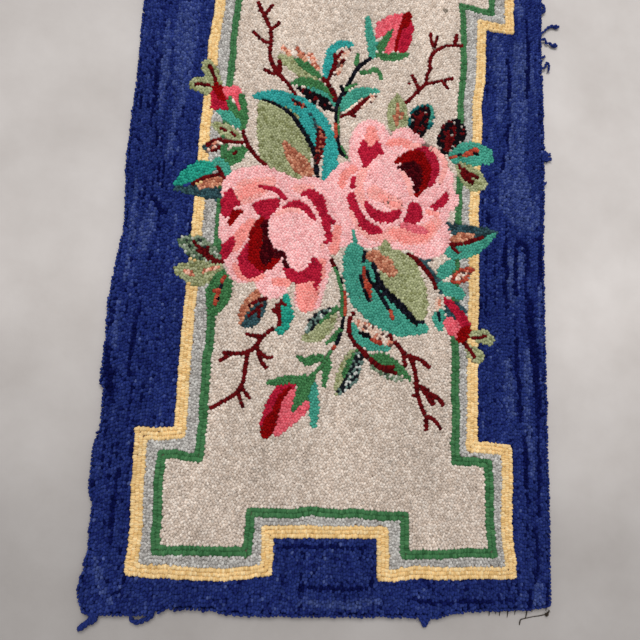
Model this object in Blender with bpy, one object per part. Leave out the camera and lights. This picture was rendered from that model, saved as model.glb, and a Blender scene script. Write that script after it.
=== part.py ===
# Hooked rug: a flat oblong of wool loops on a burlap foundation cloth, with a few loose ends at its rim.
# Metres. X is the rug's width, Y its length, Z up. The underside rests on Z = 0.

import math

import bpy
from mathutils import Vector
from mathutils.geometry import delaunay_2d_cdt

MM = 0.001
HALF_WIDTH = 305.0 * MM
HALF_LENGTH = 543.0 * MM

# Heights of the layers
CLOTH_TOP = 1.8 * MM
GAP = 0.3 * MM
PILE_BOTTOM = CLOTH_TOP + GAP
PILE_TOP = 8.0 * MM
PILE_BULGE_LOW = 3.6 * MM
PILE_BULGE_HIGH = 6.2 * MM

# How the rim is rounded and how far the cloth stays inside it
PILE_UNDERCUT = 1.6 * MM
PILE_SHOULDER = 2.6 * MM
CLOTH_INSET = 5.5 * MM
RIM_STEP = 15.0 * MM
RIM_RIPPLE = 0.5 * MM
TOP_GRID = 30.0 * MM
TOP_UNEVEN = 0.35 * MM

# The uneven rim. Each row: place along the edge, distance outside the nominal edge, both in millimetres.
BOTTOM_EDGE = [
    (-302, 1.0), (-209, 1.0), (-200, -4.0), (-140, -3.5), (-128, 1.0), (-81, 2.5), (101, 1.5), (151, 0.7),
    (185, -5.8), (222, -8.3), (278, -10.3), (307, -15.7),
]
RIGHT_EDGE = [
    (-523, 3.7), (-387, 3.4), (-306, 2.0), (-223, 1.0), (-47, -0.8), (0, -0.6), (45, 1.5), (125, 2.0),
    (240, 0.5), (300, 0.2), (392, -1.0), (450, 0.0), (536, 1.0),
]
TOP_EDGE = [(298, -1.0), (160, -1.5), (40, 1.0), (-90, -1.0), (-200, 2.0), (-299, -1.0)]
LEFT_EDGE = [
    (536, 1.0), (460, 4.0), (380, 2.0), (301, 4.2), (174, 2.6), (112, 4.2), (55, 5.2), (-19, -0.8),
    (-46, -1.2), (-83, 2.6), (-116, 6.2), (-153, 8.6), (-204, 6.6), (-243, 8.0), (-260, 7.0), (-266, 2.0),
    (-308, 0.2), (-319, 1.4), (-331, 5.0), (-343, 7.2), (-395, 7.2), (-412, 0.0), (-443, 1.0), (-485, -0.6),
    (-489, 3.0), (-514, 7.0), (-532, 4.5),
]

# Rooms in the pile's rim for the strips. Each row: edge, from, to, distance outside the nominal edge.
RIGHT_ROOM = ("right", 251.7, 376.3, -4.8)
BOTTOM_ROOM = ("bottom", -296.3, -213.7, -1.4)

# Strips. start and end are the outer line's ends, and the cloth lies to the left of the line's direction.
STRIPS = {
    "yarn_ends_right": dict(start=(304.4, 252.0), end=(304.4, 376.0), width=3.9, height=7.2),
    "yarn_ends_bottom": dict(start=(-296.0, -547.0), end=(-214.0, -547.0), width=5.1, height=7.2),
    "thread_ends": dict(start=(214.0, -533.5), end=(281.0, -531.1), width=3.4, height=1.6),
}

# Loose ends. Each row: width, height, then the points that its middle line passes, in millimetres.
LOOSE_ENDS = {
    "yarn_ends_right": [
        (3.0, 2.6, [(304.4, 262.6), (308.8, 264.0), (310.8, 269.4), (313.9, 273.6), (317.4, 269.6),
                    (317.2, 261.8)]),
        (3.2, 2.6, [(304.4, 311.0), (309.0, 311.6), (312.8, 307.6), (317.4, 307.6), (323.0, 304.6),
                    (329.6, 305.4)]),
        (3.2, 2.6, [(304.4, 322.5), (308.6, 326.0), (314.6, 333.4), (321.6, 338.0), (328.4, 338.2),
                    (333.4, 338.8)]),
        (3.0, 2.6, [(304.4, 361.0), (308.0, 361.6), (309.8, 366.5), (308.8, 371.5), (306.6, 374.4)]),
    ],
    "yarn_ends_bottom": [
        (5.4, 4.0, [(-290.5, -547.0), (-290.2, -552.0), (-293.4, -557.8), (-300.6, -561.6),
                    (-306.0, -565.6)]),
        (3.2, 2.8, [(-243.0, -547.0), (-240.6, -552.0), (-236.2, -555.8), (-230.8, -554.6), (-226.6, -550.8),
                    (-219.0, -548.6)]),
    ],
    "thread_ends": [
        (1.0, 1.0, [(224.6, None), (224.4, -541.6)]),
        (1.0, 1.0, [(233.2, None), (233.5, -539.2)]),
        (1.0, 1.0, [(239.3, None), (239.1, -541.2)]),
        (1.0, 1.0, [(250.2, None), (250.6, -543.2)]),
        (1.0, 1.0, [(260.4, None), (260.1, -539.6)]),
        (1.2, 1.0, [(275.8, None), (275.3, -540.0), (278.8, -543.2), (290.0, -540.6), (304.2, -536.8)]),
    ],
}

MATERIALS = {
    "burlap": ((0.42, 0.31, 0.19, 1.0), 0.95),
    "wool_pile": ((0.34, 0.27, 0.25, 1.0), 0.9),
    "navy_yarn_right": ((0.016, 0.022, 0.11, 1.0), 0.9),
    "navy_yarn_bottom": ((0.016, 0.022, 0.11, 1.0), 0.9),
    "foundation_thread": ((0.05, 0.045, 0.06, 1.0), 0.9),
}


def edge_point(edge, along, out):
    """A point of the rim, from its place along the named edge and its distance outside the nominal edge."""
    if edge == "bottom":
        return (along * MM, -HALF_LENGTH - out * MM)
    if edge == "top":
        return (along * MM, HALF_LENGTH + out * MM)
    side = 1.0 if edge == "right" else -1.0
    return (side * (HALF_WIDTH + out * MM), along * MM)


def with_room(edge, rows, room):
    """The edge's rows with a straight-sided room cut in, where a strip of its own stands."""
    if room[0] != edge:
        return rows
    low, high, depth = room[1:]
    before = [row for row in rows if row[0] < low]
    after = [row for row in rows if row[0] > high]

    def out_at(place):
        for (a0, o0), (a1, o1) in zip(rows, rows[1:]):
            if a0 <= place <= a1:
                return o0 + (o1 - o0) * (place - a0) / (a1 - a0)
        return rows[0][1]

    return before + [(low, out_at(low)), (low, depth), (high, depth), (high, out_at(high))] + after


def rim(rooms):
    """The rug's outline as a ring of points, counter-clockwise from the bottom left corner."""
    edges = [("bottom", BOTTOM_EDGE), ("right", RIGHT_EDGE), ("top", TOP_EDGE), ("left", LEFT_EDGE)]
    corners = []
    for edge, rows in edges:
        for room in rooms:
            rows = with_room(edge, rows, room)
        corners += [edge_point(edge, *row) for row in rows]
    ring = []
    for i, a in enumerate(corners):
        b = corners[(i + 1) % len(corners)]
        count = max(1, round(math.dist(a, b) / RIM_STEP))
        ring += [(a[0] + (b[0] - a[0]) * k / count, a[1] + (b[1] - a[1]) * k / count) for k in range(count)]
    return ring


def inset(ring, distance):
    """The ring drawn inwards by a distance, each point along the mean of its two edges' inward normals."""
    moved = []
    count = len(ring)
    for i, here in enumerate(ring):
        before = Vector(ring[i - 1])
        after = Vector(ring[(i + 1) % count])
        point = Vector(here)
        first = (point - before).normalized()
        second = (after - point).normalized()
        normal = Vector((-first.y - second.y, first.x + second.x))
        normal.normalize()
        spread = max(0.6, Vector((-first.y, first.x)).dot(normal))
        moved.append(tuple(point + normal * (distance / spread)))
    return moved


def rippled(ring):
    """Every other point of the ring a little further in, as the rim's rows of loops are."""
    nudged = inset(ring, RIM_RIPPLE)
    return [nudged[i] if i % 2 else ring[i] for i in range(len(ring))]


def cap(ring, inner):
    """Triangles that fill the ring, over its own points first and then the inner ones."""
    points = [Vector(p) for p in ring + inner]
    edges = [(i, (i + 1) % len(ring)) for i in range(len(ring))]
    flat, _, faces, origin, _, _ = delaunay_2d_cdt(points, edges, [], 1, 1e-7)
    index = {i: found[0] for i, found in enumerate(origin) if found}
    triangles = []
    for face in faces:
        a, b, c = (index[i] for i in face)
        area = (flat[face[1]] - flat[face[0]]).cross(flat[face[2]] - flat[face[0]])
        triangles.append((a, b, c) if area > 0 else (a, c, b))
    return triangles


def stacked(name, levels, inner, inner_height):
    """A closed solid from rings at rising heights, with the inner points on its top face."""
    count = len(levels[0][0])
    verts = []
    for ring, height in levels:
        verts += [(x, y, height) for x, y in ring]
    faces = []
    for level in range(len(levels) - 1):
        low = level * count
        high = low + count
        for i in range(count):
            j = (i + 1) % count
            faces.append((low + i, low + j, high + j, high + i))
    top_start = (len(levels) - 1) * count
    bottom = cap(levels[0][0], [])
    faces += [(a, c, b) for a, b, c in bottom]
    verts += [(x, y, inner_height(x, y)) for x, y in inner]
    faces += [tuple(top_start + i for i in face) for face in cap(levels[-1][0], inner)]
    return solid(name, verts, faces)


def solid(name, verts, faces):
    """A named object from points and faces."""
    mesh = bpy.data.meshes.new(name)
    mesh.from_pydata(verts, [], faces)
    mesh.validate()
    obj = bpy.data.objects.new(name, mesh)
    bpy.context.scene.collection.objects.link(obj)
    return obj


def pile_height(x, y):
    """The pile's top at a place: level but for slow, shallow unevenness."""
    wave = math.sin(x / 0.061 + 1.3) * math.cos(y / 0.083) + 0.6 * math.sin((x - y) / 0.037)
    return PILE_TOP + TOP_UNEVEN * wave


def top_points(ring):
    """An even grid of points inside the ring, clear of its edge."""
    low_x, high_x = min(p[0] for p in ring), max(p[0] for p in ring)
    low_y, high_y = min(p[1] for p in ring), max(p[1] for p in ring)
    clear = 0.018
    columns = round((high_x - low_x - 2 * clear) / TOP_GRID)
    rows = round((high_y - low_y - 2 * clear) / TOP_GRID)
    found = []
    for i in range(columns + 1):
        for j in range(rows + 1):
            x = low_x + clear + (high_x - low_x - 2 * clear) * i / columns
            y = low_y + clear + (high_y - low_y - 2 * clear) * j / rows
            if inside(ring, x, y, 0.012):
                found.append((x, y))
    return found


def inside(ring, x, y, clear):
    """Whether a place is in the ring and at least the clear distance from its points."""
    if any(math.dist((x, y), p) < clear for p in ring):
        return False
    crossings = 0
    for i, a in enumerate(ring):
        b = ring[(i + 1) % len(ring)]
        if (a[1] > y) != (b[1] > y) and x < a[0] + (b[0] - a[0]) * (y - a[1]) / (b[1] - a[1]):
            crossings += 1
    return crossings % 2 == 1


def foundation():
    """The burlap cloth with the flat backs of the stitches, a little inside the pile's rim."""
    ring = inset(rim([]), CLOTH_INSET)
    return stacked("foundation", [(ring, 0.0), (ring, CLOTH_TOP)], [], None)


def pile():
    """The slab that the wool loops fill, round at its rim and slightly uneven on top."""
    ring = rippled(rim([RIGHT_ROOM, BOTTOM_ROOM]))
    shoulder = inset(ring, PILE_SHOULDER)
    levels = [
        (inset(ring, PILE_UNDERCUT), PILE_BOTTOM),
        (ring, PILE_BULGE_LOW),
        (ring, PILE_BULGE_HIGH),
        (shoulder, PILE_TOP),
    ]
    return stacked("pile", levels, top_points(shoulder), pile_height)


def smooth_line(points):
    """The points with one more between each pair, on a soft curve through them."""
    if len(points) < 3:
        return points
    line = []
    for i in range(len(points) - 1):
        a, b = Vector(points[i]), Vector(points[i + 1])
        before = Vector(points[i - 1]) if i else a + (a - b)
        after = Vector(points[i + 2]) if i + 2 < len(points) else b + (b - a)
        line.append(tuple(a))
        line.append(tuple((a + b) * 0.5625 - (before + after) * 0.0625))
    return line + [points[-1]]


def rooted_ends(name, start, along):
    """The strip's loose ends: each one's place along the strip, and its line from the outer face."""
    ends = []
    for width, height, points in LOOSE_ENDS[name]:
        x, y = points[0]
        place = (Vector((x, y)) - start).dot(along) if y is not None else (x - start.x) / along.x
        ends.append((place, width, height, [tuple(start + along * place)] + points[1:]))
    return ends


def strip_stops(ends, length):
    """Places along the strip where its faces meet: its two ends and both sides of each loose end."""
    stops = [0.0]
    for place, width, _, _ in ends:
        stops += [place - width / 2, place + width / 2]
    return stops + [length]


def end_height(ends, stop, strip_height):
    """The height of the wall's middle point at a stop: that of the loose end beside it."""
    if stop == 0 or stop > 2 * len(ends):
        return strip_height / 2
    return ends[(stop - 1) // 2][2]


def loose_ends(name):
    """A narrow strip of the rim with the loose ends that grow out of its outer face, all in one solid."""
    strip = STRIPS[name]
    start, end = Vector(strip["start"]), Vector(strip["end"])
    along = (end - start).normalized()
    inward = Vector((-along.y, along.x)) * strip["width"]
    top = strip["height"]
    ends = rooted_ends(name, start, along)
    verts = []
    faces = []

    def add(x, y, z):
        verts.append((x * MM, y * MM, z * MM))
        return len(verts) - 1

    # A column of points for each stop: outer low, at the end's height, outer top, inner top, inner low
    columns = []
    for k, stop in enumerate(strip_stops(ends, (end - start).length)):
        outer = start + along * stop
        inner = outer + inward
        columns.append([
            add(outer.x, outer.y, 0.0),
            add(outer.x, outer.y, end_height(ends, k, top)),
            add(outer.x, outer.y, top),
            add(inner.x, inner.y, top),
            add(inner.x, inner.y, 0.0),
        ])
    faces.append(tuple(columns[0]))
    faces.append(tuple(reversed(columns[-1])))
    for k, (a, b) in enumerate(zip(columns, columns[1:])):
        root = (a[0], b[0], b[1], a[1])
        faces += [(a[i], b[i], b[i + 1], a[i + 1]) for i in (1, 2, 3)]
        faces.append((a[4], b[4], b[0], a[0]))
        if k % 2:
            _, width, height, points = ends[k // 2]
            sweep(add, faces, root, smooth_line(points), width, height)
        else:
            faces.append(root)
    return solid(name, verts, faces)


def sweep(add, faces, root, line, width, height):
    """Four-sided steps from the root face along the line, level on the floor, closed at the tip."""
    ring = root
    count = len(line)
    for i in range(1, count):
        here = Vector(line[i])
        before = Vector(line[i - 1])
        after = Vector(line[min(i + 1, count - 1)])
        direction = (after - before).normalized()
        side = Vector((-direction.y, direction.x))
        taper = 0.7 if i == count - 1 else 1.0
        half = side * (width / 2 * taper)
        left = here + half
        right = here - half
        step = (
            add(right.x, right.y, 0.0),
            add(left.x, left.y, 0.0),
            add(left.x, left.y, height * taper),
            add(right.x, right.y, height * taper),
        )
        for k in range(4):
            j = (k + 1) % 4
            faces.append((ring[k], ring[j], step[j], step[k]))
        ring = step
    faces.append(ring)


def finish(obj, material_name):
    """Gives a piece its own material."""
    colour, roughness = MATERIALS[material_name]
    material = bpy.data.materials.new(material_name)
    material.use_nodes = True
    shader = material.node_tree.nodes["Principled BSDF"]
    shader.inputs["Base Color"].default_value = colour
    shader.inputs["Roughness"].default_value = roughness
    obj.data.materials.append(material)


def main():
    for obj in list(bpy.data.objects):
        bpy.data.objects.remove(obj, do_unlink=True)
    finish(foundation(), "burlap")
    finish(pile(), "wool_pile")
    finish(loose_ends("yarn_ends_right"), "navy_yarn_right")
    finish(loose_ends("yarn_ends_bottom"), "navy_yarn_bottom")
    finish(loose_ends("thread_ends"), "foundation_thread")


main()
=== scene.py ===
# Hooked rug, the looks: every wool loop, the burlap with its stitches, and the ravelled yarn at the rim.
# The rug's plan is in millimetres from its middle: x across, y along. The bouquet is drawn on the picture's
# plane, in picture columns and rows, and laid on the rug through the scene's own camera.
import math

import bpy
import numpy as np
from mathutils import Euler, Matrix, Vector
from mathutils.geometry import delaunay_2d_cdt


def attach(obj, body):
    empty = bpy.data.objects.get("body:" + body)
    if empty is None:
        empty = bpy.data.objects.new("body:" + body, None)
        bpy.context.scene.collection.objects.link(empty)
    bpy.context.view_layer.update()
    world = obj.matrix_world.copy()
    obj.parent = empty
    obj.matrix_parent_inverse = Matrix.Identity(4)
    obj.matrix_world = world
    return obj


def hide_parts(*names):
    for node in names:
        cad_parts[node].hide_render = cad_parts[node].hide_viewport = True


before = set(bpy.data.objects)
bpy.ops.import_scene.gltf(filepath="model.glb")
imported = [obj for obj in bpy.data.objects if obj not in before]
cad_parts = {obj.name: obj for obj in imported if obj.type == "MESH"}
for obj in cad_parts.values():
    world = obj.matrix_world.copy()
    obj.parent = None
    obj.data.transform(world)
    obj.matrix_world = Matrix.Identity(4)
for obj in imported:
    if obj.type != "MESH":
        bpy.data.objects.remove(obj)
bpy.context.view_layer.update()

MM = 0.001

# Camera, from the picture's perspective
CAMERA_AT = (-0.07947, -0.25338, 0.6957)
CAMERA_TURN = (0.13418, -0.08762, 0.05106)
CAMERA_LENS = 28.125
SENSOR = 36.0
PICTURE_SIDE = 640
FOCAL_PIXELS = CAMERA_LENS / SENSOR * PICTURE_SIDE

# Painted light and shade on the plain floor, along and across the rug: metres from the middle, and share of its
# full lightness
FLOOR_PAINTED_SHADE = [(0.34, 0.915), (0.1, 0.95), (-0.12, 0.99), (-0.3, 0.93), (-0.48, 0.84)]
FLOOR_PAINTED_SHADE_ACROSS = [(-0.45, 0.935), (0.36, 1.0)]
# Lamps: name, place, width and length in metres, power in watts
LAMPS = [
    ("ceiling_far", (-0.2, 1.2, 1.9), (1.6, 1.0), 39.0),
    ("ceiling_near", (0.5, -0.5, 2.6), (2.4, 2.4), 6.0),
]
ROOM_LIGHT = 0.525
FLOOR_HALF = 3.0

# Heights of the layers, in millimetres over the floor
STITCH_LOW = 0.0
STITCH_ROOT = 0.45
CLOTH_LOW = 0.3
CLOTH_HIGH = 1.8
BED_LOW = 1.5
BED_HIGH = 4.6
GROUND_BED_HIGH = 5.1
LOOP_FOOT = 4.6
LOOP_SHOULDER = 7.2
LOOP_TOP = 8.2
RIM_FOOT = 0.9
RIM_WAIST = 3.9

# One loop seen from above
LOOP_LONG = 4.9
LOOP_WIDE = 3.2
LOOP_AREA = 15.2
LOOPS_A_PIECE = 10900
# Length and width of the loops round the rim, on the rim's strips and in single rows
RIM_LOOP = (5.6, 3.6)
STRIP_LOOP = (5.0, 3.4)
NARROW_LOOP = (5.0, 3.1)
# The six corners of a loop's ring, as shares of its half length and half width
HEX = np.array([(1.0, 0.0), (0.52, 0.92), (-0.52, 0.92), (-1.0, 0.0), (-0.52, -0.92), (0.52, -0.92)])
# A loop's rings from its foot up: height, and share of its length and width
PILE_LEVELS = [(LOOP_FOOT, 1.42, 1.72), (LOOP_SHOULDER, 0.94, 0.95)]
RIM_LEVELS = [(RIM_FOOT, 0.7, 0.6), (RIM_WAIST, 1.12, 1.16), (LOOP_SHOULDER, 0.9, 0.88)]

# How far the outer loops lie inside the rim, and from one to the next round it
RIM_INSET = 1.8
STRIP_INSET = 1.9
RIM_PITCH = 5
# How far a place may be from a strip's line, across and along it, and still be on the strip
STRIP_ROOM_ACROSS = 6.0
STRIP_ROOM_ALONG = 0.5

# The free loops: least distance from the others at the start, how loops that crowd and the edge of
# another yarn push them, and how near that edge they stand square to it
START_CELL = 4
START_APART = 2.9
CROWD_REACH = 1.08
CROWD_PUSH = 0.8
EDGE_REACH = 1.9
EDGE_PUSH = 0.7
SQUARE_REACH = 3.2
SETTLE_ROUNDS = (10, 16)

# The bed under the loops: how far inside the rim and the border line, and its net and the cloth's
BED_INSET = 2.4
GROUND_INSET = 1.5
BED_GRID = 24.0
CLOTH_GRID = 12.0

# Fibres: thickness, length and height of those at the rim, and how a tail's end frays
FUZZ_PITCH = 3.0
FUZZ_THICK = 0.13
FUZZ_LONG = (2.0, 4.6)
FUZZ_HIGH = (2.0, 7.4)
FIBRE_THICK = 0.16
FRAY_TURN = 0.7
FRAY_COUNT = 12
FRAY_LONG = 4.4

# Height at which the pile's outline is widest
PILE_BULGE = 3.6
SEED = 11
# The plan, a grid of 1 mm cells
PLAN_HALF = (330, 575)

# Outer edge of the gold line, counter-clockwise, uneven as it was hooked. The far end repeats the
# near one plainly.
BORDER_LINE = [
    (-256.5, -499), (-235, -501), (-205, -500.5), (-180, -502.5), (-130, -502.5), (-100, -499.5),
    (-70, -495), (-70, -470), (-70.6, -448.5), (-46, -448.5), (0, -447.3), (40, -446.3), (67, -445.5),
    (68.7, -470), (68.6, -498), (89, -499), (121, -494.5), (160, -495.5), (210, -494.5), (260, -493),
    (258.5, -468), (254.5, -440), (254.5, -390), (256, -350), (254.5, -317), (238, -315.5),
    (204.5, -313.5), (204, -240), (203.6, -200), (205.5, -100), (205, -40), (203.5, 20), (205.5, 80),
    (208.2, 145), (208, 190), (211.5, 225), (213, 270), (212.6, 318), (235, 315), (258.2, 313.6),
    (258.6, 400), (258.6, 496.5), (67.7, 496.5), (67.7, 447.2), (-67.7, 447.2), (-67.7, 496.5),
    (-258, 496.5), (-257, 322), (-205, 322), (-206.5, 282), (-210.5, 240), (-207.5, 205), (-209, 155),
    (-211, 104), (-211.7, 30), (-210.5, -40), (-209, -100), (-212, -180), (-211.5, -250),
    (-209.5, -312.5), (-230, -315.3), (-259, -313.8), (-258.3, -356), (-256, -416), (-254.5, -450),
]
# Inner edge of the green line, counter-clockwise. It runs straighter than the gold line's outer edge.
FIELD_LINE = [
    (-214.5, -461.5), (-194, -460.9), (-164, -460.2), (-133, -459.4), (-110, -460.2), (-108.4, -446),
    (-108, -434), (-107.4, -410.5), (-74, -410.4), (-48, -412), (-22, -407.5), (5, -409.2),
    (18, -410.1), (32, -408.4), (72, -409.7), (110.6, -409.5), (109.8, -428), (110.3, -447),
    (111, -458.6), (153, -457.4), (186, -455.3), (219.3, -455), (217.8, -438), (216.2, -406.6),
    (216, -375), (214.5, -348.5), (204.5, -347.5), (193, -347.9), (167.3, -347), (166.9, -285.6),
    (164.8, -241.6), (165.9, -219), (163.8, -174), (165.4, -60), (167.8, 15.7), (168.7, 100),
    (170.7, 193.3), (173.2, 246.5), (172.5, 300.4), (171.3, 330), (169.2, 357.6), (186.5, 356.4),
    (197.4, 354), (211.7, 352.4), (217.8, 351.6), (218.4, 400), (218.4, 457.5), (107, 457.5),
    (107, 408.5), (-107, 408.5), (-107, 457.5), (-218, 457.5), (-217, 361), (-165.6, 361),
    (-167.2, 313.2), (-169.5, 260.3), (-168.6, 208.7), (-169.8, 150), (-169.9, 60), (-168.6, -30),
    (-166, -105), (-168.2, -171.9), (-167.6, -193.8), (-169.6, -215.7), (-168.4, -258.7),
    (-168.9, -279.9), (-166.8, -300.9), (-168, -355.6), (-188, -355.6), (-202, -353.5),
    (-216.3, -353.9), (-217.6, -369.8), (-216.3, -399.9), (-215, -429.7), (-216.6, -444.4),
]
# The gold and the green line: rows of loops, and width of a row at the near end and past the middle.
# The grey fills the room between them.
GOLD_ROWS = (3, (5.2, 4.75))
GREEN_ROWS = (2, (6.1, 4.6))
ROW_WIDTH_AT = (-350, 150)
NAVY_ROW = 3.35
BAND_WOBBLE = 0.95
EDGE_ROOM = 3.6
# Room between the navy loops and the border line, their least distance apart, how many places are
# tried to fill the holes between rows, and the loops' mean direction and its spread
NAVY_ROOM = 1.5
NAVY_APART = 2.7
NAVY_FILL = 60000
NAVY_LEAN = 1.42
NAVY_TURN = 0.34
# Waves of shade along a strand: length in loops and strength. Past the limits, other dye lots are mixed in.
STRAND_WAVES = [(75, 0.42), (31, 0.3), (13, 0.2)]
LIGHT_STRAND = 0.25
DARK_STRAND = -0.45

# Streaks of another dye lot in the navy ground: yarn, widths, then picture columns and rows
NAVY_STREAKS = [
    ("navy_light", (10, 20, 26, 22, 16), [(520, 34), (523, 60), (524, 95), (522, 130), (516, 158)]),
    ("navy_light", (8, 14, 12, 6), [(496, 40), (500, 62), (503, 90), (500, 120)]),
    ("navy_light", (5, 9, 6), [(518, 0), (519, 10), (521, 18)]),
    ("navy_light", (20, 30, 34, 26, 12), [(512, 160), (514, 180), (516, 198), (520, 214), (524, 226)]),
    ("navy", (8, 16, 18, 6), [(531, 10), (528, 22), (524, 32), (518, 38)]),
    ("navy", (6, 9, 5), [(531, 88), (532, 120), (530, 150)]),
    ("navy_dark", (2.5, 3, 2.5), [(508, 124), (508, 136), (509, 142)]),
    ("navy_dark", (2.5, 4, 3), [(505, 154), (503.5, 162), (502.5, 170)]),
    ("navy_dark", (2.5, 3, 2.5), [(507, 196), (510, 204), (515, 202)]),
    ("navy_light", (16, 24, 18, 8), [(188, -4), (186, 36), (182, 76), (176, 116)]),
    ("navy_light", (5, 9, 6), [(168, 20), (166, 60), (160, 110)]),
    ("navy_light", (5, 7, 5), [(176, 100), (172, 130), (166, 160)]),
    ("navy_light", (4, 6, 4), [(136, 180), (132, 230), (124, 280)]),
    ("navy_light", (14, 26, 22, 8), [(512, 190), (522, 205), (530, 216), (534, 226)]),
    ("navy_light", (5, 9, 8, 5), [(512, 250), (511, 268), (512, 285), (515, 305)]),
    ("navy_light", (6, 8, 5), [(522, 256), (522, 270), (520, 283)]),
    ("navy_light", (5, 6, 5), [(540, 284), (542, 310), (543, 345)]),
    ("navy_light", (6, 12, 8), [(508, 360), (510, 385), (512, 415)]),
    ("navy_light", (5, 8, 6), [(527, 350), (528, 370), (530, 392)]),
    ("navy_light", (6, 8, 5), [(527, 400), (530, 430), (531, 452)]),
    ("navy_light", (8, 16, 8), [(152, 205), (148, 225), (140, 250)]),
    ("navy_light", (4, 7, 4), [(118, 300), (115, 330), (112, 352)]),
    ("navy_light", (6, 10, 8), [(300, 603), (340, 606), (380, 602)]),
    ("navy_light", (5, 8, 5), [(95, 560), (100, 585), (110, 602)]),
    ("navy_dark", (3, 4, 4, 4, 3), [(506.8, 231), (506, 258), (507.5, 275), (505.5, 287), (508, 306)]),
    ("navy_dark", (3.5, 4, 4), [(516, 252), (516, 275), (518, 296)]),
    ("navy_dark", (5, 6, 5), [(516, 246), (521, 242.5), (527, 245)]),
    ("navy_dark", (4, 4, 3.5, 4), [(528, 247), (528.5, 263), (526, 285), (531, 305)]),
    ("navy_dark", (4, 5, 4), [(541.5, 238), (541.5, 258), (540, 281)]),
    ("navy_dark", (4, 9, 9, 8, 6, 4), [(530, 300), (531, 322), (534.5, 345), (537, 372), (538.5, 400),
     (539, 436)]),
    ("navy_dark", (3, 4, 4.5, 3), [(517, 338), (516.5, 358), (519.5, 382), (521, 416)]),
    ("navy_dark", (3, 4, 3), [(539, 440), (540, 480), (539, 516)]),
    ("navy_dark", (4, 6, 5), [(525, 438), (526.5, 460), (527, 485)]),
    ("navy_dark", (3, 3.5, 3), [(536, 530), (538, 560), (537, 598)]),
    ("navy_dark", (3, 4, 3), [(508, 60), (510, 85), (508, 108)]),
    ("navy_dark", (3, 3.6, 3), [(527, 20), (529, 60), (528, 96)]),
    ("navy_dark", (3, 3.5, 3), [(158, 60), (155, 92), (150, 124)]),
    ("navy_dark", (4, 7, 4), [(152, 196), (158, 206), (163, 212)]),
    ("navy_dark", (4, 8, 9, 5), [(106, 345), (106, 365), (110, 388), (112, 402)]),
    ("navy_dark", (3, 4, 3), [(140, 300), (133, 340), (128, 376)]),
    ("navy_dark", (3, 4, 3), [(118, 470), (112, 510), (110, 545)]),
    ("navy_dark", (3, 3.6, 3), [(285, 548), (325, 547), (366, 549)]),
    ("navy_dark", (3, 4, 3), [(300, 588), (340, 590), (372, 588)]),
    ("navy_dark", (2.5, 4, 4, 3), [(408, 600), (440, 603.5), (480, 602), (516, 601)]),
    ("navy_light", (9, 11, 10), [(540, 586), (540.5, 597), (540, 607)]),
    ("navy_dark", (3.5, 4, 4), [(548.5, 586), (548.6, 596), (548.4, 605)]),
    ("navy_dark", (3, 5, 5), [(531, 592), (531, 600), (531, 608)]),
    ("navy_light", (4, 6, 6, 4), [(532, 438), (533, 452), (532.5, 466), (534, 480)]),
    ("navy_dark", (4, 6, 4), [(520.5, 398), (520.5, 408), (521, 420)]),
]

# Strips at the rim that stand as nodes of their own: ends of the outer line
STRIP_LINES = {
    "yarn_ends_right": ((304.4, 252.0), (304.4, 376.0)),
    "yarn_ends_bottom": ((-296.0, -547.0), (-214.0, -547.0)),
}

STRIP_SLOTS = {
    "yarn_ends_right": "navy_yarn_right",
    "yarn_ends_bottom": "navy_yarn_bottom",
    "thread_ends": "foundation_thread",
}
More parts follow.
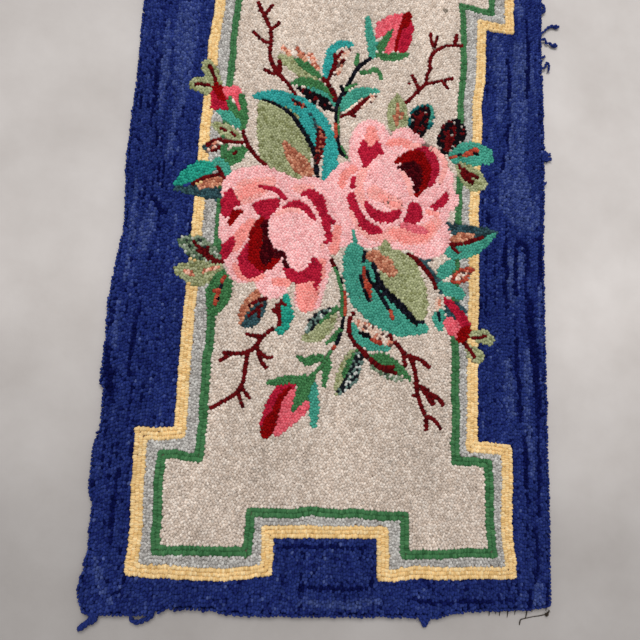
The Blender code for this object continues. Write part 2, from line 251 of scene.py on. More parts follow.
# Each tail: its node, radii, plies, and the places and heights that its middle line passes
TAILS = [
    ("yarn_ends_right", (1.8, 1.8, 1.9, 2, 1.9, 1.8), 2, [
        (302, 262.6, 5.2), (308.8, 264, 5), (310.8, 269.6, 4.4), (313.6, 274, 4),
        (316.8, 269.4, 3.6), (316.4, 261.5, 3.2)]),
    ("yarn_ends_right", (2, 2.2, 1.8), 2, [(302.5, 280, 5.2), (307, 282, 4.8), (309.8, 284.6, 4.2)]),
    ("yarn_ends_right", (1.7, 2.2, 2.2, 1.8, 1.7, 2.6, 3.6, 3), 2, [
        (302, 311, 5.2), (306.5, 312.6, 5.2), (310.4, 313, 4.6), (312.8, 307.4, 4),
        (317.8, 308.6, 3.6), (322.6, 304.8, 3.6), (326.5, 305.2, 3.9), (329.4, 305.8, 3.6)]),
    ("yarn_ends_right", (1.6, 1.8, 1.8, 2.2, 2.6, 2.4, 3.2, 3), 2, [
        (302, 321, 5), (305.8, 324, 5), (309.6, 328, 4.2), (314.4, 333.6, 3.6),
        (319.5, 337.4, 3.6), (324, 338.6, 3.6), (328.5, 338.2, 3.6), (333, 339, 3.4)]),
    ("yarn_ends_right", (2, 2.3, 2.3, 2.3, 2), 2, [
        (302, 360.6, 5.2), (306.8, 361.2, 5.4), (309.4, 366.4, 4.8), (308.2, 372, 4.4), (303, 375.4, 5)]),
    ("yarn_ends_right", (1.8, 2.2, 2.2), 2, [(306, 358.8, 4.8), (310.2, 363, 4), (310.4, 368.6, 3.6)]),
    ("yarn_ends_bottom", (3.4, 3.6, 3.6, 3.8, 3.8, 3.2), 3, [
        (-290.5, -542, 5), (-290.6, -548.5, 5), (-292.6, -553.4, 4.4), (-296.8, -557.2, 4.2),
        (-301.5, -560.8, 4), (-304.6, -563.6, 3.6)]),
    ("yarn_ends_bottom", (3, 3.6, 3.2), 3, [
        (-285.5, -544, 5), (-286, -550.5, 4.6), (-290.5, -555.6, 3.8)]),
    ("yarn_ends_bottom", (2.2, 2.6, 3, 3.2, 3.2, 3, 2.8), 2, [
        (-243, -543.5, 5.2), (-242.6, -548.5, 5.2), (-239.4, -553, 4.2), (-232.6, -554.6, 3.6),
        (-226.6, -551.6, 4), (-219.5, -549, 4.2), (-216.5, -545, 5)]),
    ("thread_ends", (0.9, 0.8, 0.3), 2, [(224.8, -530.6, 2), (224.6, -536, 1.2), (224.2, -542, 0.6)]),
    ("thread_ends", (0.7, 0.6, 0.3), 2, [(233.4, -530, 2), (233.6, -535.5, 1.2), (233.4, -539.4, 0.6)]),
    ("thread_ends", (0.9, 0.8, 0.3), 2, [(239.3, -530, 2), (239.2, -536, 1.2), (238.5, -541.8, 0.6)]),
    ("thread_ends", (1, 0.9, 0.3), 2, [(250.4, -529.5, 2), (250.3, -536, 1.2), (249.3, -543.8, 0.6)]),
    ("thread_ends", (0.9, 0.7, 0.3), 2, [(260.6, -529.5, 2), (260.4, -535, 1.2), (260, -540.2, 0.6)]),
    ("thread_ends", (0.7, 0.6, 0.3), 2, [(284, -529, 2), (284.2, -533, 1.2), (284.1, -536.2, 0.6)]),
    ("thread_ends", (0.8, 0.7, 0.4), 2, [(303.6, -525, 2.4), (304, -530.5, 1.6), (303.9, -534, 0.7)]),
    ("thread_ends", (0.8, 0.8, 0.6), 2, [(276.8, -530, 2), (276.4, -538, 1), (274.8, -544.4, 0.7)]),
    ("thread_ends", (0.7, 0.6, 0.5, 0.5, 0.7, 0.9, 0.6), 2, [
        (304.5, -538, 1.2), (296, -540.4, 0.7), (285.7, -542, 0.6), (276, -543.8, 0.9),
        (268.6, -545.8, 0.7), (267, -549.4, 0.9), (266.6, -552.6, 0.6)]),
    ("thread_ends", (1.8, 2.4, 1.7), 2, [(302.6, -539.2, 1.9), (304.5, -538, 2.4), (306.2, -536.4, 1.9)]),
]
# Clumps of ravelled yarn at the rim: radii, and the places and heights that the middle line passes
CLUMPS = [
    ((2.6, 2.6, 1.8), [(127.5, -541, 5), (131, -547, 4.2), (134.8, -555.2, 3)]),
    ((3.2, 3.2, 2.4), [(134, -541, 5.2), (135, -548, 4.6), (135.6, -555, 3.2)]),
    ((2.6, 2.4, 1.6), [(142.4, -541, 5), (139.6, -547, 4.2), (136.4, -555.2, 3)]),
    ((1.8, 2, 1.5), [(149, -539.5, 5), (150.6, -543.4, 4.6), (153.2, -544.6, 4)]),
    ((2.2, 2.8, 3), [(302.4, 120.6, 5), (307, 122.4, 5.2), (311, 122.4, 4.4)]),
    ((2.2, 2.6, 3), [(304, 117.6, 5), (311, 119, 4.8), (316.6, 120.6, 4)]),
    ((2, 2.4, 2.8), [(302.8, 112.6, 5), (308, 111.2, 4.4), (313, 110.6, 3.8)]),
    ((2.2, 2.6, 2.8), [(305, 115, 5), (312, 114.4, 4.4), (318.2, 113.4, 3.8)]),
    ((2, 2.4, 1.8), [(303, 70, 5), (307, 73, 4.8), (309.6, 75.4, 4.2)]),
]
# Frayed tufts: place, heading in degrees, number of fibres and their length
TUFTS = [
    (129.5, -542.0, -78, 14, 10.0), (135.5, -543.0, -92, 18, 12.5), (141.5, -542.5, -105, 14, 10.0),
    (305.5, 118.0, 5, 18, 12.0), (305.0, 113.0, -12, 12, 10.0), (305.0, 122.0, 20, 8, 7.0),
    (-305.5, -345.0, 178, 12, 5.0),
]

# Each yarn: its dye lots, each with a share of the loops and a colour
YARNS = {
    "navy": [(0.2, "#19235D"), (0.6, "#212E6A"), (0.2, "#2B3975")],
    "navy_light": [(0.35, "#283570"), (0.4, "#35437B"), (0.25, "#435186")],
    "navy_dark": [(0.75, "#0A1041"), (0.25, "#121A52")],
    "gold": [(0.2, "#D8B479"), (0.6, "#E6C58D"), (0.2, "#EBD09E")],
    "grey": [(0.3, "#A09D99"), (0.4, "#B0ADA9"), (0.3, "#C2C0BC")],
    "green": [(0.2, "#33603B"), (0.6, "#41724A"), (0.2, "#4C7C52")],
    "field": [(0.3, "#C1B2A5"), (0.45, "#CEC0B4"), (0.25, "#DACEC3")],
    "twig_maroon": [(0.3, "#44080C"), (0.7, "#600E12")],
    "sage": [(0.16, "#7F8359"), (0.5, "#979C75"), (0.34, "#A7AB86")],
    "leaf_green": [(0.3, "#38683F"), (0.7, "#447A4C")],
    "teal": [(0.3, "#3C8B7A"), (0.7, "#499C89")],
    "teal_bright": [(0.3, "#1E8273"), (0.7, "#2B9A86")],
    "turquoise": [(0.3, "#2C8B89"), (0.7, "#38A09C")],
    "deep_teal": [(0.4, "#0E4A4C"), (0.6, "#186668")],
    "near_black": [(0.6, "#0D0D14"), (0.4, "#1B1B26")],
    "black_fleck": [(0.76, "#120E13"), (0.17, "#5C1014"), (0.07, "#A89A93")],
    "maroon_fleck": [(0.5, "#5E1216"), (0.25, "#26151A"), (0.25, "#A65A48")],
    "coral_fleck": [(0.4, "#D58A70"), (0.3, "#E8B7A2"), (0.3, "#A95F4A")],
    "oat_fleck": [(0.45, "#D8BBAA"), (0.2, "#EBDDD0"), (0.2, "#C4806A"), (0.15, "#5B3E3A")],
    "grey_fleck": [(0.48, "#818F79"), (0.3, "#526850"), (0.12, "#B4B8AD"), (0.1, "#2B3230")],
    "bw_fleck": [(0.42, "#191C22"), (0.2, "#C2C4C0"), (0.38, "#5F766F")],
    "rust": [(0.3, "#9C5A45"), (0.4, "#B97A60"), (0.3, "#CE987C")],
    "rust_red": [(0.5, "#97372B"), (0.5, "#B5503C")],
    "slate": [(0.4, "#25393F"), (0.6, "#36535A")],
    "slate_fleck": [(0.5, "#5F564F"), (0.5, "#857B70")],
    "pale_pink": [(0.25, "#E7ABAC"), (0.5, "#EDB8B9"), (0.25, "#F1C4C4")],
    "peach_pink": [(0.4, "#E7A19B"), (0.6, "#ECADA7")],
    "coral": [(0.3, "#E58D86"), (0.7, "#EC9B94")],
    "crimson": [(0.3, "#9A152E"), (0.7, "#B11F39")],
    "dark_red": [(0.3, "#720608"), (0.7, "#88080A")],
    "maroon_core": [(0.5, "#33030A"), (0.5, "#4A0810")],
    "bud_pink": [(0.3, "#D25463"), (0.7, "#E06A77")],
    "rose_red": [(0.4, "#D2606E"), (0.6, "#DF7480")],
    "brown_thread": [(0.5, "#2B2621"), (0.5, "#3A332B")],
    # Painted shade: a dark greyish brown for the bed that shows in the gaps between the ground's loops
    "gap_shade": [(1.0, "#6E5C55")],
}
# How strongly a yarn is flecked, for those that aren't as plain as the rest
FLECKS = {"field": 1.3, "grey": 1.4, "sage": 1.1, "navy": 1.2, "navy_light": 1.2, "navy_dark": 0.9}
YARN_NUMBER = {name: number for number, name in enumerate(YARNS)}

# The bouquet, in the order of its layers. Each stroke: yarn, widths along it, then the picture columns
# and rows that its middle line passes.
# Twigs
TWIG_ROWS = [
    ((4, 4.5, 4.5, 4, 4, 4.5, 5, 4.5, 4, 3.5), [(257, -2), (261, 8), (266, 18), (270.5, 29),
     (271, 42), (270, 54), (273.5, 65.5), (279.5, 74), (287, 82), (298.5, 98)]),
    ((3.5, 4), [(272.5, 4), (264.5, 15)]),
    ((4, 3.5), [(279.5, 22), (270.5, 29)]),
    ((3.5, 3.5, 3), [(253.5, 31), (263.5, 40), (271, 42)]),
    ((4, 4.5, 5), [(279.5, 60), (280, 67), (279, 74)]),
    ((4, 4), [(264.3, 68.8), (274, 73.5)]),
    ((4, 3, 3.5, 3, 4, 3.6, 4.6), [(406.4, 102), (419, 90), (426.5, 82.4), (427, 76),
     (430.3, 67.2), (430.8, 57.5), (435.2, 51)]),
    ((4, 3.2, 3, 4), [(435.2, 51), (445, 45.6), (453.6, 45), (462.3, 45)]),
    ((3, 4.6, 3), [(457.2, 34), (456.8, 38.6), (455, 43.5)]),
    ((3.2, 2.6, 2.6), [(431, 32.6), (432, 40), (433.6, 45)]),
    ((2.6, 2.4, 2.6), [(437.8, 35.4), (436.6, 40), (435.4, 46)]),
    ((3, 3, 4.6), [(426.5, 83.5), (438.4, 80.8), (452.5, 78)]),
    ((3.4, 3.6), [(443.8, 82.4), (448.2, 87.8)]),
    ((4, 5, 4), [(418.9, 89), (415.6, 80.2), (412.4, 74.8)]),
    ((3, 3), [(409.6, 83), (409.9, 83.4)]),
    ((4, 4.6, 5, 5, 4.6, 4, 3.6), [(272.6, 328.4), (262.7, 336.4), (256.8, 345),
     (250, 350.5), (243, 353), (233, 353), (223, 352.6)]),
    ((4, 4, 4), [(233, 353.5), (226, 357), (219.5, 360.5)]),
    ((3.6, 4, 4), [(246, 334), (255, 335.5), (262, 336.6)]),
    ((4.4, 4.6, 4.4, 4.6, 4.6, 4, 3.6), [(248, 351), (246.5, 360), (245, 370),
     (242.5, 383), (235, 394), (222, 402), (210.6, 408)]),
    ((4, 3.4), [(241, 387), (249, 398)]),
    ((4, 3.4), [(238, 393), (242.5, 407)]),
    ((4.4, 4, 4.4), [(257, 346), (260, 359), (266, 367.6)]),
    ((3.6, 3, 3), [(259, 351.5), (267, 357.6), (272.6, 356.6)]),
    ((3, 3), [(390, 334), (392, 339.5)]),
    ((4, 4.6, 5.4), [(395.6, 341.9), (400.4, 348.3), (404.2, 354)]),
    ((5.4, 5), [(403.8, 353), (405.2, 365.6)]),
    ((5, 4, 4.6), [(409.2, 356), (421, 360), (429, 367)]),
    ((6, 5, 4.8, 5.4, 4.6, 4.8, 5), [(410.6, 357), (415, 370), (417, 382), (417, 390),
     (419.4, 400), (423.5, 411.3), (426.7, 416.9)]),
    ((4, 4.6), [(426.7, 417), (426.7, 429.4)]),
    ((4.4, 4.6, 4.6), [(427, 416), (434.7, 420.4), (441, 428.6)]),
    ((3, 8, 4), [(419.5, 386), (428, 393.5), (433.9, 404.9)]),
    ((3, 5, 5), [(430.7, 393), (438.2, 398), (443.3, 404.9)]),
    ((3, 3), [(413.4, 396), (416, 395)]),
]
TWIGS = [("twig_maroon", widths, points) for widths, points in TWIG_ROWS]
# Leaves above the roses
UPPER_LEAVES = [
    ("sage", (6, 14, 16, 4), [(280, 55), (292, 62), (305, 70), (317, 77)]),
    ("leaf_green", (4, 9, 9, 5), [(297, 60), (305, 64.5), (313, 70), (320, 75.5)]),
    ("coral_fleck", (6, 5), [(283.5, 47.5), (289, 52)]),
    ("coral_fleck", (4, 5, 6), [(297, 46), (300, 51.5), (305, 56)]),
    ("coral_fleck", (6, 6, 3), [(311, 54), (314.5, 62), (318.5, 69.5)]),
    ("rust", (4, 4), [(286, 50), (289.5, 54.5)]),
    ("rust", (4, 6), [(299, 54), (305.5, 58.5)]),
    ("leaf_green", (4, 9, 11, 11, 6), [(292, 82), (303, 81), (315, 84.5), (326, 92), (334, 102)]),
    ("teal", (4, 7, 8, 5), [(307, 88), (318, 92), (327, 98), (335, 105)]),
    ("black_fleck", (4, 8, 12, 11, 5), [(298, 87), (308, 93), (318, 99), (326, 104), (332, 109)]),
    ("turquoise", (5, 7, 9, 10, 9, 5), [(351.5, 43.5), (342, 43), (334, 48), (329, 60), (327.5, 70),
     (327.5, 78)]),
    ("oat_fleck", (4, 9, 7), [(349, 50), (341, 62), (337, 72)]),
    ("twig_maroon", (3, 5, 4, 3), [(335, 53), (335.5, 62), (332, 71), (328.5, 79)]),
    ("twig_maroon", (3, 3), [(342.5, 50), (338, 56)]),
    ("twig_maroon", (3, 3), [(344.5, 59), (341, 62)]),
    ("twig_maroon", (3, 5, 6, 4), [(323, 77), (328.5, 84), (334, 93), (335, 100)]),
    ("turquoise", (7, 11, 12, 14, 15, 15, 16, 7), [(256.5, 95.5), (275, 94.5), (296, 100.5), (313, 112),
     (324.5, 129), (330.5, 150), (330, 167), (325, 180.5)]),
    ("turquoise", (8, 16, 18, 16, 8), [(276, 98), (293, 107), (306, 120), (314, 138), (318, 150)]),
    ("sage", (8, 26, 46, 52, 36, 5), [(262, 103), (270, 114), (279, 129), (285, 149), (291, 165),
     (294, 181)]),
    ("rust", (6, 13, 18, 12), [(285, 143), (291, 153), (300, 163.5), (308, 172)]),
    ("near_black", (1.5, 3, 4.4, 5, 5, 4.4, 6, 4.4), [(263, 98.5), (277, 104), (291, 113.5), (301, 127),
     (309, 140), (313.5, 150), (316, 162), (317.5, 176)]),
    ("maroon_fleck", (3.5, 5, 4), [(292, 99.5), (298, 103), (304.5, 106)]),
    ("maroon_fleck", (6, 11, 9, 6), [(319, 128), (321, 138), (319, 150), (317.5, 161)]),
    ("slate", (3, 2.5), [(310, 113), (311, 115)]),
    ("slate", (2, 2), [(314.3, 118), (316.5, 128)]),
    ("teal", (5, 13, 13, 9, 4), [(338, 112), (345, 103), (355, 95), (366, 91), (378.5, 90)]),
    ("oat_fleck", (8, 9, 6), [(352, 110), (363, 102), (374, 96)]),
    ("twig_maroon", (2.5, 4, 6, 4, 2.5), [(341, 116), (350, 112), (357, 107.5), (364, 101), (369.5, 96)]),
    ("twig_maroon", (4, 3), [(350.5, 113.5), (355.5, 116)]),
    ("sage", (2, 19, 21, 8), [(398, 93.5), (398, 107), (398, 121), (396, 129)]),
    ("rust", (3, 4, 4), [(398, 103), (398, 113), (397, 125.5)]),
    ("rust", (3, 3), [(394, 115), (395.5, 119)]),
    ("rust", (3, 3), [(403, 112), (401.5, 118)]),
    ("deep_teal", (11, 25, 18, 5), [(428.5, 108.5), (422, 118), (418, 129), (415.5, 138)]),
    ("teal", (3, 3, 3), [(430.5, 105.5), (433, 112), (430.5, 121)]),
    ("black_fleck", (9, 20, 16, 7), [(426, 109), (421, 118.5), (417.8, 129), (415.8, 136.5)]),
    ("twig_maroon", (3, 6, 4, 4), [(424, 112), (418.5, 119), (416.6, 126), (414.5, 133)]),
    ("twig_maroon", (3, 3), [(417, 126), (421, 128)]),
    ("black_fleck", (13, 26, 26, 11), [(456.5, 124.5), (454, 132), (450.5, 140), (447, 148.5)]),
    ("twig_maroon", (4, 9, 10, 5), [(455, 125), (452, 132), (450, 139), (448, 149)]),
    ("black_fleck", (3, 3), [(451, 130), (453, 134)]),
]
# Leaves right of the roses
RIGHT_LEAVES = [
    ("teal", (4, 12, 21, 19, 13), [(450, 155.5), (461, 149.5), (473, 151), (484, 154.5), (488, 158)]),
    ("teal", (4, 9, 10, 10), [(451, 158), (461, 161), (470, 161), (480, 160)]),
    ("rust_red", (2.5, 3), [(450.5, 157.5), (457, 155.5)]),
    ("near_black", (3, 3), [(459, 154.5), (462, 154)]),
    ("rust_red", (5, 6.5, 5), [(465.5, 155), (471, 152.5), (476, 150)]),
    ("near_black", (2.5, 2.5), [(474, 152), (479, 154)]),
    ("sage", (7, 17, 23, 14), [(459, 164.5), (466, 172.5), (474.5, 180), (481.5, 183.5)]),
    ("sage", (5, 7), [(462, 163.5), (474, 170)]),
    ("twig_maroon", (3, 5, 9, 5), [(458.5, 164), (464, 170), (468, 176), (472, 181.5)]),
    ("twig_maroon", (4, 3), [(470, 173), (478.5, 177.5)]),
    ("slate", (7, 12, 13, 12, 4), [(447.5, 226), (456, 229), (470, 231), (484, 232), (496.5, 232.5)]),
    ("slate", (3, 5), [(446, 224), (450, 229)]),
    ("rust", (7, 10, 5), [(451, 240.5), (461, 237.5), (473, 235)]),
    ("teal", (6, 14, 16, 14, 3), [(443.5, 248.5), (455, 252), (467, 250), (481, 244), (496.5, 234)]),
    ("twig_maroon", (4, 4, 5, 3), [(449, 244), (462, 243.5), (473, 240.5), (484, 237)]),
    ("twig_maroon", (2.5, 2.5), [(452, 246.5), (459.5, 253)]),
]
# Leaves left of the roses
LEFT_LEAVES = [
    ("sage", (4, 14, 9), [(213, 123.5), (224, 128.5), (237, 136)]),
    ("twig_maroon", (2.5, 2.5), [(220, 127), (226, 130)]),
    ("twig_maroon", (2.5, 3), [(231, 131), (235, 135.5)]),
    ("leaf_green", (14, 17, 6), [(229.5, 158.5), (236, 154), (245, 148)]),
    ("twig_maroon", (2.5, 2.5), [(233, 154), (237, 151)]),
    ("twig_maroon", (6, 13, 8, 4), [(206, 149), (213, 145), (221, 141), (230, 140)]),
    ("oat_fleck", (3, 7, 4), [(208, 148.5), (214, 145), (220.5, 141.5)]),
    ("slate", (4.5, 4.5), [(204, 146), (205, 148)]),
    ("twig_maroon", (3, 3), [(222, 140), (243, 142)]),
    ("twig_maroon", (3, 4, 5, 4, 4), [(242.5, 128), (245, 138), (250, 148), (258, 158), (272, 169.5)]),
    ("teal_bright", (4, 15, 17, 9), [(175, 184), (187, 175), (200, 168), (213, 166.5)]),
    ("teal", (10, 14, 5), [(217.5, 161), (224, 168.5), (229, 178.5)]),
    ("slate", (4, 10, 14, 11), [(174.5, 188), (190, 189.5), (205, 191), (218, 192.5)]),
    ("slate", (8, 4), [(216, 193), (216, 199)]),
    ("rust", (5, 10, 10), [(199, 186), (209, 183), (223, 180)]),
    ("twig_maroon", (4, 4, 4, 3), [(192.5, 183.5), (200, 179), (208, 176), (219, 173.5)]),
    ("twig_maroon", (4, 3.5, 3.5, 3), [(217, 166), (221, 172), (224, 178), (229.5, 181.5)]),
    ("grey_fleck", (14, 24, 18, 5), [(184, 242), (196, 247), (210, 254), (221, 262.5)]),
    ("twig_maroon", (3, 5, 7, 5, 3.4), [(193, 240.5), (200, 247.5), (206, 254), (212.5, 259.5),
     (223.5, 263)]),
    ("twig_maroon", (3, 4), [(196, 250), (205, 253.5)]),
    ("twig_maroon", (3, 4), [(207.5, 246), (207, 253)]),
    ("sage", (9, 19, 27, 17, 5), [(177, 269), (186, 271), (199, 273), (212, 271), (222, 267.5)]),
    ("coral_fleck", (4, 5), [(184, 270.5), (192, 273.5)]),
    ("coral_fleck", (4, 5, 4), [(203, 271), (212, 268.5), (219.5, 266)]),
    ("leaf_green", (8, 24, 24, 10), [(223, 273), (220, 286), (217, 298), (212, 312)]),
    ("leaf_green", (12, 5), [(222, 283), (231.5, 281)]),
    ("leaf_green", (14, 6), [(218, 302), (225.5, 303)]),
    ("rust_red", (3, 4, 4, 4, 4), [(225, 275.5), (222, 281), (219, 289), (216, 297), (214.5, 304)]),
    ("near_black", (3, 3), [(222, 284.5), (220.5, 288)]),
    ("near_black", (3, 3), [(218, 296.5), (216.8, 299)]),
    ("rust_red", (4, 3), [(213.5, 290.5), (217, 289.5)]),
    ("rust", (6, 10, 9, 3), [(259, 290), (251, 300), (243.5, 312), (240.5, 324)]),
    ("slate", (5, 14, 14, 4), [(265.5, 299), (258, 310.5), (250, 320.5), (243.5, 326)]),
    ("twig_maroon", (4, 4.5, 3), [(266, 298), (258, 300.5), (248.5, 305.5)]),
    ("twig_maroon", (3, 3, 3), [(262, 305), (254, 311), (248, 316)]),
    ("twig_maroon", (3, 3), [(259, 309.5), (258.5, 317)]),
    ("teal_bright", (4, 8, 13, 12, 4), [(286, 291), (286.5, 303), (287, 316), (282, 327.5), (279, 335)]),
    ("twig_maroon", (4, 8, 4), [(281, 301), (276.5, 309), (277, 313)]),
    ("twig_maroon", (4, 3.4, 5), [(279, 311), (279.5, 319), (279, 325)]),
    ("twig_maroon", (3, 3), [(281, 301.5), (286, 305)]),
]
# Leaves below the roses
LOWER_LEAVES = [
    ("sage", (8, 15, 15, 6), [(306, 338), (316, 334.5), (326, 326.5), (335, 316)]),
    ("leaf_green", (4, 7, 4), [(337, 307.5), (327, 315), (319, 323)]),
    ("bw_fleck", (6, 9, 8, 4), [(307, 331), (312, 323.5), (320, 315.5), (329, 310)]),
    ("teal", (3, 2.5, 3), [(353.3, 229.6), (354, 234), (355, 238)]),
    ("teal", (6, 22, 31, 33, 30, 24, 11), [(355, 239), (355.5, 253), (358.5, 272), (366, 294),
     (381, 311), (400, 324), (423, 328.5)]),
    ("sage", (6, 22, 38, 38, 26, 6), [(384.5, 243), (388, 256), (399, 272), (408, 290), (416, 306),
     (420.5, 319)]),
    ("rust", (10, 18, 15, 10), [(371, 255), (379, 258), (386, 264.5), (393, 272)]),
    ("near_black", (3, 3), [(365.2, 251), (363.6, 262)]),
    ("near_black", (4, 4.6, 7.4, 7, 7, 7, 6), [(373.6, 263), (376, 272), (380, 283), (387, 293),
     (396, 301), (406, 311), (415.5, 322.5)]),
    ("near_black", (3, 4, 4, 3), [(372.4, 282.4), (379.5, 293.5), (385.4, 303), (390, 310.5)]),
    ("near_black", (4, 4), [(416, 322), (424, 321.8)]),
    ("near_black", (3, 3, 3), [(360.5, 275), (364, 288), (369.5, 301)]),
    ("rust_red", (4, 7, 7, 4), [(364, 266.5), (366, 277), (368.5, 288), (370.5, 298)]),
    ("near_black", (2.5, 2.5), [(367, 270), (371, 282)]),
    ("rust_red", (4, 3), [(390.8, 310), (393.2, 319)]),
    ("sage", (8, 11, 9, 3), [(352, 353), (345, 368), (339.5, 382), (337, 394)]),
    ("leaf_green", (5, 8, 5), [(357, 352.5), (350, 364), (344, 376)]),
    ("bw_fleck", (8, 11, 13, 10, 4), [(359, 355), (357, 366), (352, 377.5), (345.5, 386),
     (338.5, 393.5)]),
    ("oat_fleck", (6, 9, 10, 8, 4), [(357, 321), (366, 327), (376, 333.5), (385, 339), (392, 345)]),
    ("teal", (5, 9, 10, 9, 5), [(353, 325), (356, 333), (362.5, 340.5), (373, 347), (388.5, 349)]),
    ("black_fleck", (4, 5), [(360, 333), (368.5, 335.5)]),
    ("rust_red", (4, 5), [(372, 339.5), (381, 343)]),
    ("leaf_green", (6, 12, 11, 8, 5), [(373, 357), (383, 358.5), (393, 364), (402, 371), (409.5, 378.5)]),
    ("grey_fleck", (4, 5, 6, 5), [(371, 366), (381, 372.5), (391, 377.5), (402, 379.5)]),
    ("twig_maroon", (4, 4), [(353.3, 313), (353.8, 314)]),
    ("twig_maroon", (5, 4.4, 5, 5, 6, 6, 5, 3), [(350, 318), (349.3, 331), (353, 341), (361, 349),
     (369, 358), (380, 367), (390, 371.5), (396.4, 373.6)]),
    ("twig_maroon", (5, 4), [(381, 367.5), (394, 367)]),
]
